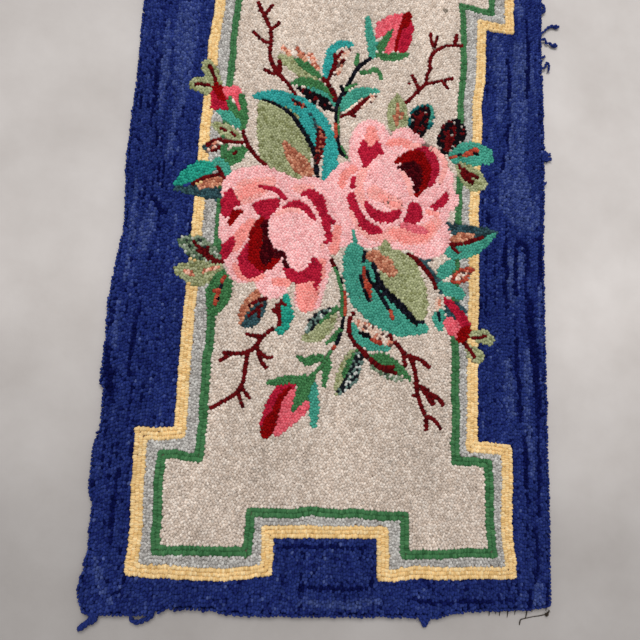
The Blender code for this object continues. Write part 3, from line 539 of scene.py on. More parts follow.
# Buds with their stems
BUDS = [
    ("twig_maroon", (3, 4), [(330, 255), (335, 267.5)]),
    ("leaf_green", (3, 4, 4), [(335, 267), (339, 278), (341.5, 289)]),
    ("near_black", (2, 2), [(336.5, 267), (342, 283)]),
    ("leaf_green", (3.4, 3.4, 3.4), [(342, 288), (342.6, 300), (341.6, 316)]),
    ("rust_red", (2.6, 3, 3), [(344.6, 291), (345.4, 303), (345, 317)]),
    ("near_black", (3, 4.4, 4.4), [(344, 317), (341, 332), (336, 345)]),
    ("leaf_green", (4, 6.5, 3), [(340, 330), (334.5, 337), (327.5, 343)]),
    ("rust_red", (3.4, 3, 3), [(334.5, 346), (329, 357), (321, 368.5)]),
    ("leaf_green", (3, 3, 4), [(331, 351), (325, 361), (314, 374)]),
    ("leaf_green", (3, 5.5, 9, 8, 5), [(297, 355), (303.5, 360.5), (308.5, 361), (316, 358.5),
     (326, 357)]),
    ("leaf_green", (6, 7, 5), [(328.5, 362), (326.5, 373), (323.8, 384)]),
    ("crimson", (6, 11, 9.5, 9, 9), [(295, 384.5), (283, 388.5), (274, 398.5), (268, 412), (264.5, 424)]),
    ("bud_pink", (6, 14, 15, 9), [(294, 391), (287, 403), (281.5, 417), (277, 432.5)]),
    ("bud_pink", (9, 13, 12, 7), [(307, 402.5), (299, 411), (289, 420.5), (281, 430)]),
    ("dark_red", (4, 6, 6, 14, 12.5), [(290, 388), (281, 397), (276, 410), (269.5, 424), (266, 432.5)]),
    ("leaf_green", (3, 7, 9.5, 10, 8), [(267, 383.5), (275, 382), (288, 379.5), (300, 380.5), (311, 380)]),
    ("leaf_green", (12, 14, 9, 2.5), [(305, 381), (303, 391), (298, 402), (291, 412)]),
    ("leaf_green", (7, 13, 9), [(312, 378), (308, 388), (306, 396)]),
    ("teal", (4, 9, 9.5, 9, 7), [(315.5, 382), (313.5, 394), (314.5, 404), (314.5, 414), (313, 425)]),
    ("sage", (15, 17, 13), [(196, 83.5), (203, 84.5), (209, 88)]),
    ("sage", (13, 16, 11), [(207.5, 65), (211.5, 74), (217, 84)]),
    ("twig_maroon", (3, 3, 3), [(195, 83), (202, 83.4), (209.5, 84.5)]),
    ("twig_maroon", (3.6, 3, 4), [(209.8, 64.5), (213, 73), (217, 85)]),
    ("crimson", (8, 18, 12, 3), [(214.5, 93), (218.5, 101.5), (228, 106), (232.5, 112)]),
    ("dark_red", (8, 11, 9), [(216, 85.5), (220, 91.5), (222, 96)]),
    ("bud_pink", (10, 11), [(227.5, 90.5), (236, 90.5)]),
    ("bud_pink", (7, 5, 2.5), [(234.5, 94), (237.5, 101.5), (239.3, 110)]),
    ("leaf_green", (5, 9, 12, 8), [(241.5, 94.5), (243, 106), (243, 118), (241.5, 125.5)]),
    ("leaf_green", (7, 8, 9), [(229.5, 101.5), (235, 110), (240, 119)]),
    ("bud_pink", (3.4, 3, 2.4), [(236, 98), (238, 104), (239.3, 110)]),
    ("teal", (5, 10, 9), [(218, 110.5), (228, 115.5), (237, 123.5)]),
    ("near_black", (4, 4.6, 4, 4, 4), [(372.3, 56.4), (358.2, 67.2), (350.6, 80.2), (343, 92),
     (337.6, 104)]),
    ("near_black", (3.4, 3.4), [(337, 104), (336, 123)]),
    ("leaf_green", (2, 2, 2), [(339, 106), (338.2, 122), (339, 134)]),
    ("rust_red", (3.4, 3.4), [(335.6, 123), (336.4, 136)]),
    ("near_black", (2.4, 3, 3), [(337.5, 135), (340.5, 150), (347.3, 158.5)]),
    ("leaf_green", (3, 2.6), [(341.5, 146), (347, 157)]),
    ("leaf_green", (4, 6), [(358, 54), (356.3, 62)]),
    ("leaf_green", (4, 5, 5, 5.4, 4), [(361, 71.5), (369, 71.5), (375, 68.5), (379.5, 72.5), (381.5, 78)]),
    ("near_black", (4, 4.4), [(341, 85.5), (345.5, 92)]),
    ("leaf_green", (5, 3, 2), [(346, 88.5), (352, 85), (357, 83.5)]),
    ("bud_pink", (8, 15, 15, 5), [(403, 16.5), (393, 21.5), (383, 27), (378.5, 35.5)]),
    ("bud_pink", (12, 13, 10), [(398, 25), (392.5, 37), (388.5, 49)]),
    ("crimson", (6, 11, 12, 10), [(410.5, 23), (408.5, 30), (405.5, 40), (402.5, 49)]),
    ("dark_red", (9, 9), [(408.3, 15.5), (405.5, 23)]),
    ("dark_red", (4, 4, 3), [(402, 25), (398, 38), (395.5, 50.5)]),
    ("leaf_green", (6, 8, 7, 4), [(377, 54.5), (390, 56.5), (400, 55.5), (408, 54)]),
    ("leaf_green", (2, 6.5, 10), [(393.5, 28), (387.5, 37), (381, 47)]),
    ("teal", (4, 8, 10, 6), [(368, 18), (369.5, 30), (372, 43), (373, 55)]),
    ("teal", (5, 4), [(373, 41), (377.5, 43)]),
    ("twig_maroon", (2.5, 4, 5, 5, 4), [(407.6, 253.3), (416.5, 258.7), (424, 267.8), (431.5, 277),
     (436.5, 288)]),
    ("slate", (2.5, 3, 3, 3), [(420, 258.5), (429, 267.5), (435, 275.5), (442, 293.5)]),
    ("slate", (2.4, 2.4), [(424, 262), (431, 259.6)]),
    ("teal", (8, 14, 11), [(439.5, 278), (445, 271), (451.5, 265)]),
    ("teal", (8, 14, 11), [(441.5, 285), (450, 289.5), (460.5, 294)]),
    ("slate", (4, 3), [(436, 279), (441, 280)]),
    ("rust_red", (4, 15, 6), [(451.5, 280.5), (461.5, 276), (471.5, 269.5)]),
    ("oat_fleck", (3, 7, 4), [(455.5, 279.5), (462, 276), (468, 272)]),
    ("teal", (8, 14, 4), [(440, 311.5), (439.3, 319), (441, 329.5)]),
    ("oat_fleck", (5, 5), [(438.5, 300), (438.5, 308)]),
    ("near_black", (2.4, 2.4), [(439, 312), (440.5, 321)]),
    ("slate", (4, 7, 5), [(450, 301), (458.5, 305.5), (465, 311.5)]),
    ("slate", (4, 10, 6), [(447, 305.5), (451, 313), (457, 318.5)]),
    ("bud_pink", (12, 17, 9), [(449.5, 322.5), (455, 328), (458, 334)]),
    ("crimson", (5, 8, 9.5, 10, 8), [(446, 299.5), (451.5, 304.5), (459, 314), (465.5, 323),
     (469.5, 332)]),
    ("dark_red", (10, 12, 8), [(467, 330), (464, 335), (461, 339)]),
    ("sage", (10, 15, 14), [(475, 336), (484, 336.5), (489, 339)]),
    ("sage", (8, 14, 13), [(468.5, 348), (474.5, 353.5), (478.5, 357.5)]),
    ("twig_maroon", (2.6, 3, 2.6), [(472, 337.5), (480, 337.7), (487, 335.7)]),
    ("twig_maroon", (4, 4, 4), [(465, 343.5), (470, 350), (475, 357)]),
]
# Petals of both roses
ROSE_PETALS = [
    ("pale_pink", (100, 96), [(268, 228), (274, 236)]),
    ("pale_pink", (50, 58, 46), [(246, 192), (262, 194), (284, 198)]),
    ("pale_pink", (46, 50), [(309, 199), (316, 214)]),
    ("pale_pink", (34, 38), [(238, 206), (241, 238)]),
    ("pale_pink", (30, 38), [(236, 250), (244, 264)]),
    ("pale_pink", (34, 30), [(268, 272), (273, 284)]),
    ("pale_pink", (30, 30, 28), [(308, 276), (310, 288), (308, 298)]),
    ("pale_pink", (28, 22), [(318, 262), (318, 276)]),
    ("pale_pink", (96, 100), [(398, 186), (402, 200)]),
    ("pale_pink", (36, 44, 50), [(371, 137), (371, 146), (376, 164)]),
    ("pale_pink", (30, 44), [(404, 142), (412, 158)]),
    ("pale_pink", (50, 46), [(424, 168), (432, 182)]),
    ("pale_pink", (34, 20), [(440, 199), (450, 200)]),
    ("pale_pink", (44, 46), [(424, 226), (428, 236)]),
    ("pale_pink", (46, 36), [(374, 216), (370, 230)]),
    ("pale_pink", (50, 50, 34), [(352, 186), (340, 204), (340, 230)]),
    ("pale_pink", (20, 10), [(392, 240), (398, 244)]),
    ("pale_pink", (24, 23, 24), [(322, 240), (318.5, 256), (319, 268)]),
    ("peach_pink", (10, 24, 20, 8), [(238, 201), (246, 191), (258, 187), (272, 181)]),
    ("coral", (6, 13, 10), [(241, 197), (249, 190), (260, 187)]),
    ("peach_pink", (7, 9, 6), [(296, 187.5), (304, 189), (312, 188)]),
    ("peach_pink", (6, 7, 6), [(318.5, 214), (322, 228), (321, 246)]),
    ("coral", (7, 13, 10), [(252, 221), (243, 232), (235, 246)]),
    ("coral", (7, 7, 7), [(235, 266), (244, 277), (262, 276)]),
    ("coral", (8, 9), [(275, 281.5), (287, 283)]),
    ("coral", (16, 23, 19), [(303, 284), (308, 292), (306, 303)]),
    ("coral", (8, 8), [(322, 262), (321, 276)]),
    ("coral", (8, 10), [(337.5, 228), (334.5, 249)]),
    ("coral", (11, 13, 12), [(371.5, 131), (372.5, 139), (372, 148)]),
    ("coral", (6, 9, 8), [(389, 143), (400, 141.5), (411, 145)]),
    ("coral", (7, 9, 6), [(354, 168), (344.5, 175), (342, 186)]),
    ("peach_pink", (6, 9, 9, 7), [(367, 166), (360, 180), (361.5, 198), (371, 212)]),
    ("peach_pink", (6, 6, 6, 6, 5), [(412, 145), (424, 146), (438, 152), (446, 165), (441, 181)]),
    ("peach_pink", (6, 8, 10, 10), [(350.5, 200), (358, 222), (371, 235), (391, 237)]),
    ("peach_pink", (10, 20, 19, 10), [(392, 231), (408, 235), (425, 233), (437, 222)]),
    ("coral", (8, 15, 14, 7), [(393, 232), (407, 236), (423, 234), (433, 226)]),
    ("coral", (5, 6), [(428, 211.5), (437, 214)]),
]
# Hearts and folds of both roses
ROSE_HEARTS = [
    ("crimson", (4, 10, 17, 17, 8), [(250, 240), (248, 250), (245.5, 261), (250.5, 269.5), (260, 269)]),
    ("dark_red", (5, 11, 15, 18, 19, 12), [(267.5, 213), (262, 222), (257.5, 233), (257.5, 246), (258, 257),
     (264, 265)]),
    ("dark_red", (14, 12, 6), [(262, 264), (270, 262.5), (277.5, 258)]),
    ("maroon_core", (3, 6, 8, 12, 14, 9), [(267, 217), (264.5, 226), (267, 236), (269, 245), (266.5, 253),
     (265.5, 260)]),
    ("pale_pink", (54, 56, 40, 35), [(295.5, 230.5), (297, 233), (299, 243), (300, 250.5)]),
    ("maroon_core", (10, 8.5, 8, 6.5), [(268, 251), (275, 253), (280.5, 254.5), (283.5, 255)]),
    ("peach_pink", (4, 5, 5), [(277, 214), (288, 209.5), (299, 210.5)]),
    ("crimson", (3, 16, 9), [(230.5, 188.5), (228.5, 201), (226, 212)]),
    ("crimson", (11, 5), [(228, 203.5), (238, 202)]),
    ("dark_red", (3, 8, 6), [(243, 210.5), (235.5, 213), (230, 222)]),
    ("crimson", (6, 13, 5), [(232, 240.5), (226, 249), (224.5, 257.5)]),
    ("crimson", (7, 18, 13, 5), [(256, 204), (264, 208), (272, 205), (277.5, 199.5)]),
    ("crimson", (6, 5), [(266, 213), (267.5, 217)]),
    ("crimson", (2.4, 5, 6, 6, 4), [(259, 185.5), (268, 187.5), (277, 190), (282, 195), (285.5, 198.5)]),
    ("crimson", (3, 6, 7, 7, 6, 3.4), [(282.5, 207.5), (290, 204), (298, 203), (305, 207), (311, 213.5),
     (316, 220)]),
    ("crimson", (3, 9, 13, 9, 8, 7, 6, 2.5), [(301.5, 194.5), (311, 193), (318.5, 200), (323, 211),
     (326, 221), (328, 230), (329.5, 239), (324.5, 243)]),
    ("crimson", (7, 3), [(326, 217), (335, 222)]),
    ("crimson", (4, 9, 12, 13, 13, 4), [(284, 262), (289, 271.5), (297, 277), (307, 275), (315, 267),
     (314, 257.5)]),
    ("crimson", (9, 8, 2.5), [(318, 267), (317.5, 279), (316, 289)]),
    ("maroon_core", (5, 4), [(284, 261), (287.5, 267)]),
    ("crimson", (5, 17, 22, 22, 8), [(419.5, 148), (425.5, 155), (428.5, 166), (426.5, 176), (421.5, 187)]),
    ("dark_red", (5, 11, 15, 19, 16, 6), [(397, 161.5), (407, 157.5), (418, 157), (422.5, 169),
     (420, 183), (417.5, 193.5)]),
    ("maroon_core", (6, 11, 18, 15, 5), [(397.5, 168.6), (405, 168), (412.5, 170), (415, 181),
     (415.5, 191)]),
    ("maroon_core", (14, 13), [(408.5, 169.5), (413, 179)]),
    ("maroon_core", (5, 3), [(394.8, 167), (393.4, 173)]),
    ("pale_pink", (26, 34, 42, 42, 30), [(383, 175), (389, 184), (390, 187), (393, 189), (399, 195)]),
    ("peach_pink", (14, 12, 14), [(374, 192), (383, 197), (397, 204)]),
    ("coral", (5, 5), [(380, 194.5), (386, 199)]),
    ("coral", (5, 6), [(391, 203), (399, 205)]),
    ("peach_pink", (5, 6, 5), [(403, 172), (409, 183), (411.5, 194)]),
    ("crimson", (5, 13, 10, 3), [(364, 141.5), (365, 152), (366.5, 160), (364.6, 165.4)]),
    ("crimson", (14, 12), [(367, 152.5), (372, 152.5)]),
    ("crimson", (10, 10, 3.4), [(372, 153), (377.5, 147.5), (377, 142)]),
    ("crimson", (8, 3.4), [(378, 150), (383, 152.6)]),
    ("crimson", (5, 6), [(354, 177.5), (352.5, 186)]),
    ("crimson", (8, 9, 7, 10, 10, 7), [(351, 196), (354, 205), (359, 214), (364, 223), (372, 229),
     (379, 230.5)]),
    ("crimson", (4, 9, 11, 11, 8), [(366, 204), (372, 211), (380, 216.5), (390, 216.5), (398, 213.5)]),
    ("crimson", (12, 17, 10, 3), [(414, 207.5), (415, 214), (409, 220.5), (404, 224)]),
    ("crimson", (6, 9, 7), [(447, 194.5), (443, 201), (435, 206.5)]),
    ("rose_red", (5, 9, 7), [(402, 224.5), (413, 227.5), (425, 231)]),
]
# Spot of other yarn on the field, and leaf tips that reach over the right rose
FIELD_SPOT = [
    ("teal", (1.8, 2.4, 4), [(352.7, 229), (354, 235), (356, 241)]),
    ("sage", (2.4, 6, 12), [(385.4, 240), (385.6, 245), (386, 250)]),
    ("slate_fleck", (3.4, 4), [(445, 9.4), (447, 10)]),
]
LEAVES = UPPER_LEAVES + RIGHT_LEAVES + LEFT_LEAVES + LOWER_LEAVES
PATTERN = TWIGS + LEAVES + BUDS + ROSE_PETALS + ROSE_HEARTS + FIELD_SPOT
ROSE_YARNS = ["pale_pink", "coral", "crimson", "dark_red", "maroon_core", "bud_pink", "rose_red"]

# Cells of the chart to a pixel
CHART_CELLS = 2
# Strokes up to this many pixels wide are one row of loops, and these lie so many millimetres apart
NARROW_STROKE = 6.2
NARROW_PITCH = 2.9
# How much of its stroke's width such a loop fills, its least and greatest length, and least distance apart
NARROW_FILL = 1.14
NARROW_LONG = (3.4, 9.5)
NARROW_APART = 2.2


# The picture's plane and the rug's plane
CAMERA_AXES = np.array(Euler(CAMERA_TURN).to_matrix())


def to_picture(places):
    """Picture columns and rows of places on the pile's top, given in millimetres."""
    world = np.column_stack([places * MM, np.full(len(places), LOOP_TOP * MM)])
    seen = (world - CAMERA_AT) @ CAMERA_AXES
    half = PICTURE_SIDE / 2
    columns = half + FOCAL_PIXELS * seen[:, 0] / -seen[:, 2]
    rows = half - FOCAL_PIXELS * seen[:, 1] / -seen[:, 2]
    return np.column_stack([columns, rows])


def on_rug(pixels):
    """Places on the pile's top, in millimetres, of picture columns and rows."""
    pixels = np.asarray(pixels, float)
    half = PICTURE_SIDE / 2
    rays = np.column_stack([pixels[:, 0] - half, half - pixels[:, 1], np.full(len(pixels), -FOCAL_PIXELS)])
    rays = rays @ CAMERA_AXES.T
    reach = (LOOP_TOP * MM - CAMERA_AT[2]) / rays[:, 2]
    return (np.array(CAMERA_AT[:2]) + rays[:, :2] * reach[:, None]) / MM


def smooth_line(points, step):
    """A smooth curve through the given points, about a step apart, and how far along it each point is, 0 to 1."""
    points = np.array(points, float)
    ends = np.vstack([2 * points[0] - points[1], points, 2 * points[-1] - points[-2]])
    line = []
    along = []
    spans = len(points) - 1
    for span in range(spans):
        a, b, c, d = ends[span:span + 4]
        count = max(2, int(math.dist(b, c) / step) + 1)
        t = np.linspace(0, 1, count, endpoint=span == spans - 1)[:, None]
        bend = (2 * a - 5 * b + 4 * c - d) * t ** 2 + (3 * b - a - 3 * c + d) * t ** 3
        line.append(b + 0.5 * ((c - a) * t + bend))
        along.append((span + t[:, 0]) / spans)
    return np.vstack(line), np.concatenate(along)


def paint_stroke(chart, number, widths, points):
    """Marks the cells of the chart that a stroke of yarn covers."""
    line, along = smooth_line(points, 0.7)
    radius = np.interp(along, np.linspace(0, 1, len(widths)), widths) / 2
    low = np.maximum(np.floor((line - radius[:, None]).min(0)).astype(int), 0)
    high = np.minimum(np.ceil((line + radius[:, None]).max(0)).astype(int), PICTURE_SIDE)
    if (high <= low).any():
        return
    low *= CHART_CELLS
    high *= CHART_CELLS
    columns, rows = np.meshgrid(np.arange(low[0], high[0]), np.arange(low[1], high[1]))
    columns = (columns + 0.5) / CHART_CELLS
    rows = (rows + 0.5) / CHART_CELLS
    inside = np.zeros(columns.shape, bool)
    for (x, y), reach in zip(line, radius):
        inside |= (columns - x) ** 2 + (rows - y) ** 2 < reach ** 2
    chart[low[1]:high[1], low[0]:high[0]][inside] = number


def is_narrow(yarn, widths):
    """Whether a stroke is one row of loops. Flecked yarns always fill their shape."""
    return max(widths) <= NARROW_STROKE and not yarn.endswith("fleck")


def painted_chart(strokes, narrow_only=False):
    """Strokes on the picture's plane: the number of the yarn in each cell, and -1 outside them."""
    chart = np.full((PICTURE_SIDE * CHART_CELLS,) * 2, -1, int)
    for yarn, widths, points in strokes:
        left_out = narrow_only and not is_narrow(yarn, widths)
        paint_stroke(chart, -2 if left_out else YARN_NUMBER[yarn], widths, points)
    return chart


def charted_yarn(chart, places):
    """Number of the charted yarn at places on the rug, -1 where there is none."""
    cells = np.floor(to_picture(places) * CHART_CELLS).astype(int)
    side = PICTURE_SIDE * CHART_CELLS
    seen = ((cells >= 0) & (cells < side)).all(1)
    cells = np.clip(cells, 0, side - 1)
    return np.where(seen, chart[cells[:, 1], cells[:, 0]], -1)


# Outlines in the rug's plane
def outline_of(node, height):
    """Ring of a node's points at one height, round the rug's middle, in millimetres."""
    points = np.array([v.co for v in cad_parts[node].data.vertices]) / MM
    ring = np.unique(points[np.abs(points[:, 2] - height) < 0.05][:, :2].round(2), axis=0)
    return ring[np.argsort(np.arctan2(ring[:, 1], ring[:, 0] * 1.6))]


def inside_of(ring, places):
    """Which places are inside a closed ring."""
    inside = np.zeros(len(places), bool)
    x, y = places[:, 0], places[:, 1]
    for (x0, y0), (x1, y1) in zip(ring, np.roll(ring, -1, 0)):
        if y0 == y1:
            continue
        crosses = (y0 > y) != (y1 > y)
        inside ^= crosses & (x < x0 + (x1 - x0) * (y - y0) / (y1 - y0))
    return inside


def distance_to(ring, places):
    """Distance of each place from a closed ring."""
    nearest = np.full(len(places), np.inf)
    for a, b in zip(ring, np.roll(ring, -1, 0)):
        side = b - a
        length = side @ side
        if length == 0:
            continue
        t = np.clip(((places - a) @ side) / length, 0, 1)
        gap = places - a - t[:, None] * side
        nearest = np.minimum(nearest, np.einsum("ij,ij->i", gap, gap))
    return np.sqrt(nearest)


def offset_ring(ring, distance):
    """The ring moved inwards by a distance, its corners mitred. Below zero moves it outwards."""
    ring = np.array(ring, float)
    sides = np.roll(ring, -1, 0) - ring
    sides /= np.hypot(*sides.T)[:, None]
    inwards = np.column_stack([-sides[:, 1], sides[:, 0]])
    before = np.roll(inwards, 1, 0)
    mitre = (before + inwards) / (1 + np.einsum("ij,ij->i", before, inwards))[:, None]
    return ring + mitre * np.reshape(distance, (-1, 1))


def row_width(places, widths):
    """Width of a row of the gold or green line at places along the rug."""
    return np.interp(np.asarray(places, float)[:, 1], ROW_WIDTH_AT, widths)


def wobble(places):
    """How far the hand-hooked rows wander from a straight line."""
    x, y = places.T
    across = np.sin(y / 41.0 + 0.7) + 0.6 * np.sin(y / 13.7 + x / 60.0) + 0.35 * np.sin(y / 5.3 + 2.0)
    along = np.sin(x / 37.0 + 2.1) + 0.6 * np.sin(x / 12.1 + y / 55.0) + 0.35 * np.sin(x / 4.9)
    return np.column_stack([across, along]) * BAND_WOBBLE / 1.6


# Places of the loops. A set of loops is a dictionary of equal arrays.
def loop_set(places, angle, yarn, long=LOOP_LONG, wide=LOOP_WIDE):
    count = len(places)
    return {
        "place": np.array(places, float).reshape(-1, 2),
        "angle": np.broadcast_to(np.asarray(angle, float), count).copy(),
        "yarn": np.broadcast_to(np.asarray(yarn, int), count).copy(),
        "long": np.full(count, float(long)),
        "wide": np.full(count, float(wide)),
        "shade": np.zeros(count),
    }


def joined(sets):
    return {key: np.concatenate([one[key] for one in sets]) for key in sets[0]}


def chosen(loops, keep):
    return {key: values[keep] for key, values in loops.items()}


def places_in_row(ring, spacing, start=0.5):
    """Places along each side of a ring, and the sides' directions."""
    places = []
    angles = []
    for a, b in zip(ring, np.roll(ring, -1, 0)):
        length = math.dist(a, b)
        count = max(1, round(length / spacing))
        t = (np.arange(count) + start) / count
        places.append(a + (b - a) * t[:, None])
        angles.append(np.full(count, math.atan2(*(b - a)[::-1])))
    return np.vstack(places), np.concatenate(angles)


def band_loops(chart, random):
    """The gold and the green line, each loop lying across its row."""
    sets = []
    lines = (("gold", BORDER_LINE, 1, GOLD_ROWS), ("green", FIELD_LINE, -1, GREEN_ROWS))
    for yarn, line, way, (rows, widths) in lines:
        for row in range(rows):
            ring = offset_ring(line, way * row_width(line, widths) * (row + 0.5))
            places, angles = places_in_row(ring, LOOP_AREA / max(widths), random.uniform(0.2, 0.8))
            places = places + wobble(places)
            places += random.normal(0, 0.42, places.shape)
            angles = angles + math.pi / 2 + random.normal(0, 0.27, len(angles))
            loops = loop_set(places, angles, YARN_NUMBER[yarn])
            loops["long"] = row_width(places, widths) + 0.5
            loops["wide"] += 0.15
            sets.append(loops)
    loops = joined(sets)
    loops["long"] += random.normal(0, 0.5, len(loops["long"]))
    return chosen(loops, charted_yarn(chart, loops["place"]) < 0)


def spread(places, taken, apart):
    """Which places, in order, keep their distance from all kept before them and from those taken."""
    cells = {}
    kept = np.zeros(len(places), bool)

    def near(x, y):
        column, row = int(x // apart), int(y // apart)
        for other in (cells.get((column + i, row + j), ()) for i in (-1, 0, 1) for j in (-1, 0, 1)):
            if any((x - u) ** 2 + (y - v) ** 2 < apart ** 2 for u, v in other):
                return True
        return False

    def put(x, y):
        cells.setdefault((int(x // apart), int(y // apart)), []).append((x, y))

    for x, y in taken:
        put(x, y)
    for number, (x, y) in enumerate(places):
        if not near(x, y):
            put(x, y)
            kept[number] = True
    return kept


def strand_shade(count, random):
    """Shade of the loops along one row, -1 to 1, as one strand of yarn slowly gives way to the next."""
    along = np.arange(count)
    waves = np.zeros(count)
    for length, strength in STRAND_WAVES:
        turns = along * 2 * math.pi / (length * random.uniform(0.8, 1.25))
        waves += strength * np.sin(turns + random.uniform(0, 6.3))
    return np.clip(waves + random.normal(0, 0.3), -1, 1)


def navy_loops(chart, streaks, rim, taken, random):
    """The navy ground, in wavering rows that run the length of the rug."""
    border = np.array(BORDER_LINE, float)
    low, high = rim.min(0), rim.max(0)
    sets = []
    for across in np.arange(low[0], high[0], NAVY_ROW):
        along = np.arange(low[1], high[1], LOOP_AREA / NAVY_ROW) + random.uniform(0, NAVY_ROW)
        places = np.column_stack([np.full(len(along), across), along])
        places = places + 0.8 * wobble(places) + random.normal(0, 0.5, places.shape)
        loops = loop_set(places, 0.0, YARN_NUMBER["navy"])
        loops["shade"] = strand_shade(len(places), random)
        sets.append(loops)
    loops = joined(sets)
    loops = chosen(loops, ~inside_of(border, loops["place"]))
    loops = chosen(loops, distance_to(border, loops["place"]) > NAVY_ROOM)
    fill = random.uniform(low, high, (NAVY_FILL, 2))
    fill = fill[~inside_of(border, fill)]
    fill = fill[distance_to(border, fill) > NAVY_ROOM]
    loops = joined([loops, loop_set(fill, 0.0, YARN_NUMBER["navy"])])
    count = len(loops["place"])
    loops["angle"] = NAVY_LEAN + random.normal(0, NAVY_TURN, count)
    chance = random.random(count)
    loops["yarn"][chance < 0.55 * (loops["shade"] - LIGHT_STRAND)] = YARN_NUMBER["navy_light"]
    loops["yarn"][chance < 0.9 * (DARK_STRAND - loops["shade"])] = YARN_NUMBER["navy_dark"]
    streak = charted_yarn(streaks, loops["place"])
    loops["yarn"] = np.where(streak >= 0, streak, loops["yarn"])
    keep = inside_of(rim, loops["place"]) & (charted_yarn(chart, loops["place"]) < 0)
    loops = chosen(loops, keep)
    loops = chosen(loops, distance_to(rim, loops["place"]) > EDGE_ROOM)
    return chosen(loops, spread(loops["place"], taken, NAVY_APART))


def rim_loops(rim, random):
    """One row of loops on their sides round the rim."""
    ring = places_in_row(rim, 1.0)[0][::RIM_PITCH]
    towards = np.roll(ring, -1, 0) - np.roll(ring, 1, 0)
    angles = np.arctan2(towards[:, 1], towards[:, 0])
    inwards = np.column_stack([-np.sin(angles), np.cos(angles)])
    places = ring + inwards * (RIM_INSET + random.normal(0, 0.5, len(ring)))[:, None]
    loops = loop_set(places, angles + random.normal(0, 0.35, len(angles)), YARN_NUMBER["navy"], *RIM_LOOP)
    loops["long"] += random.normal(0, 0.8, len(ring))
    loops["wide"] += random.normal(0, 0.4, len(ring))
    return loops


def strip_loops(name, random):
    """The loops on a strip of the rim that is a node of its own."""
    start, end = (np.array(point) for point in STRIP_LINES[name])
    length = math.dist(start, end)
    count = round(length / LOOP_LONG)
    t = (np.arange(count) + 0.5) / count
    angle = math.atan2(*(end - start)[::-1])
    inwards = np.array([-math.sin(angle), math.cos(angle)])
    places = start + (end - start) * t[:, None] + inwards * STRIP_INSET + random.normal(0, 0.25, (count, 2))
    return loop_set(places, angle + random.normal(0, 0.2, count), YARN_NUMBER["navy"], *STRIP_LOOP)


def with_caps(pixels, share, widths):
    """A stroke's middle line run on to its rounded ends."""
    first = pixels[0] - pixels[1]
    last = pixels[-1] - pixels[-2]
    start = pixels[0] + first / np.hypot(*first) * max(0.2, widths[0] / 2 - 1.0)
    end = pixels[-1] + last / np.hypot(*last) * max(0.2, widths[-1] / 2 - 1.0)
    return np.vstack([start, pixels, end]), np.concatenate([[0], share, [1]])


def narrow_lines(chart, random):
    """Single rows of loops for the narrow strokes, each loop lying across its stroke."""
    sets = []
    for yarn, widths, points in PATTERN:
        if not is_narrow(yarn, widths):
            continue
        pixels, share = smooth_line(points, 0.5)
        pixels, share = with_caps(pixels, share, widths)
        line = on_rug(pixels)
        steps = np.hypot(*np.diff(line, axis=0).T)
        along = np.concatenate([[0], np.cumsum(steps)])
        count = max(1, round(along[-1] / NARROW_PITCH))
        at = (np.arange(count) + 0.5) / count * along[-1]
        places, ahead, back = (
            np.column_stack([np.interp(at + shift, along, line[:, axis]) for axis in (0, 1)])
            for shift in (0.0, 1.0, -1.0)
        )
        angles = np.arctan2(*(ahead - back).T[::-1]) + math.pi / 2 + random.normal(0, 0.16, count)
        pixel_size = math.dist(*on_rug([pixels[0], pixels[0] + 1])) / math.sqrt(2)
        wide_at = np.interp(np.interp(at, along, share), np.linspace(0, 1, len(widths)), widths) * pixel_size
        number = YARN_NUMBER[yarn]
        loops = loop_set(places + random.normal(0, 0.25, places.shape), angles, number, *NARROW_LOOP)
        loops["long"] = np.clip(NARROW_FILL * wide_at, *NARROW_LONG) + random.normal(0, 0.5, count)
        sets.append(chosen(loops, charted_yarn(chart, places) == number))
    return joined(sets)


def plan_places():
    """The middles of the plan's cells, and the plan's shape."""
    x = np.arange(-PLAN_HALF[0], PLAN_HALF[0]) + 0.5
    y = np.arange(-PLAN_HALF[1], PLAN_HALF[1]) + 0.5
    across, along = np.meshgrid(x, y)
    return np.column_stack([across.ravel(), along.ravel()]), across.shape


def free_plan(chart, narrow):
    """Number of the yarn in each cell that free loops fill, and -1 elsewhere."""
    places, shape = plan_places()
    plan = charted_yarn(chart, places)
    free = plan < 0
    straight = places - wobble(places)
    gold_inside = offset_ring(BORDER_LINE, GOLD_ROWS[0] * row_width(BORDER_LINE, GOLD_ROWS[1]))
    green_outside = offset_ring(FIELD_LINE, -GREEN_ROWS[0] * row_width(FIELD_LINE, GREEN_ROWS[1]))
    inside_gold = inside_of(gold_inside, straight)
    inside_green = inside_of(green_outside, straight)
    plan[free & inside_gold & ~inside_green] = YARN_NUMBER["grey"]
    plan[free & inside_of(FIELD_LINE, straight)] = YARN_NUMBER["field"]
    plan[charted_yarn(narrow, places) == plan] = -1
    return plan.reshape(shape)


def plan_cells(places):
    """Columns and rows of the plan's cells that places are in."""
    cells = np.floor(places + PLAN_HALF).astype(int)
    return np.clip(cells, 0, np.array(PLAN_HALF) * 2 - 1)


def nearest_other(plan, reach=5):
    """For each cell of the plan, the way to the nearest cell of another yarn, in millimetres."""
    way = np.full(plan.shape + (2,), np.nan)
    nearest = np.full(plan.shape, np.inf)
    for step_y in range(-reach, reach + 1):
        for step_x in range(-reach, reach + 1):
            distance = math.hypot(step_x, step_y)
            if not 0 < distance <= reach:
                continue
            other = np.roll(plan, (-step_y, -step_x), (0, 1)) != plan
            closer = other & (distance < nearest)
            nearest[closer] = distance
            way[closer] = (step_x, step_y)
    return way, nearest


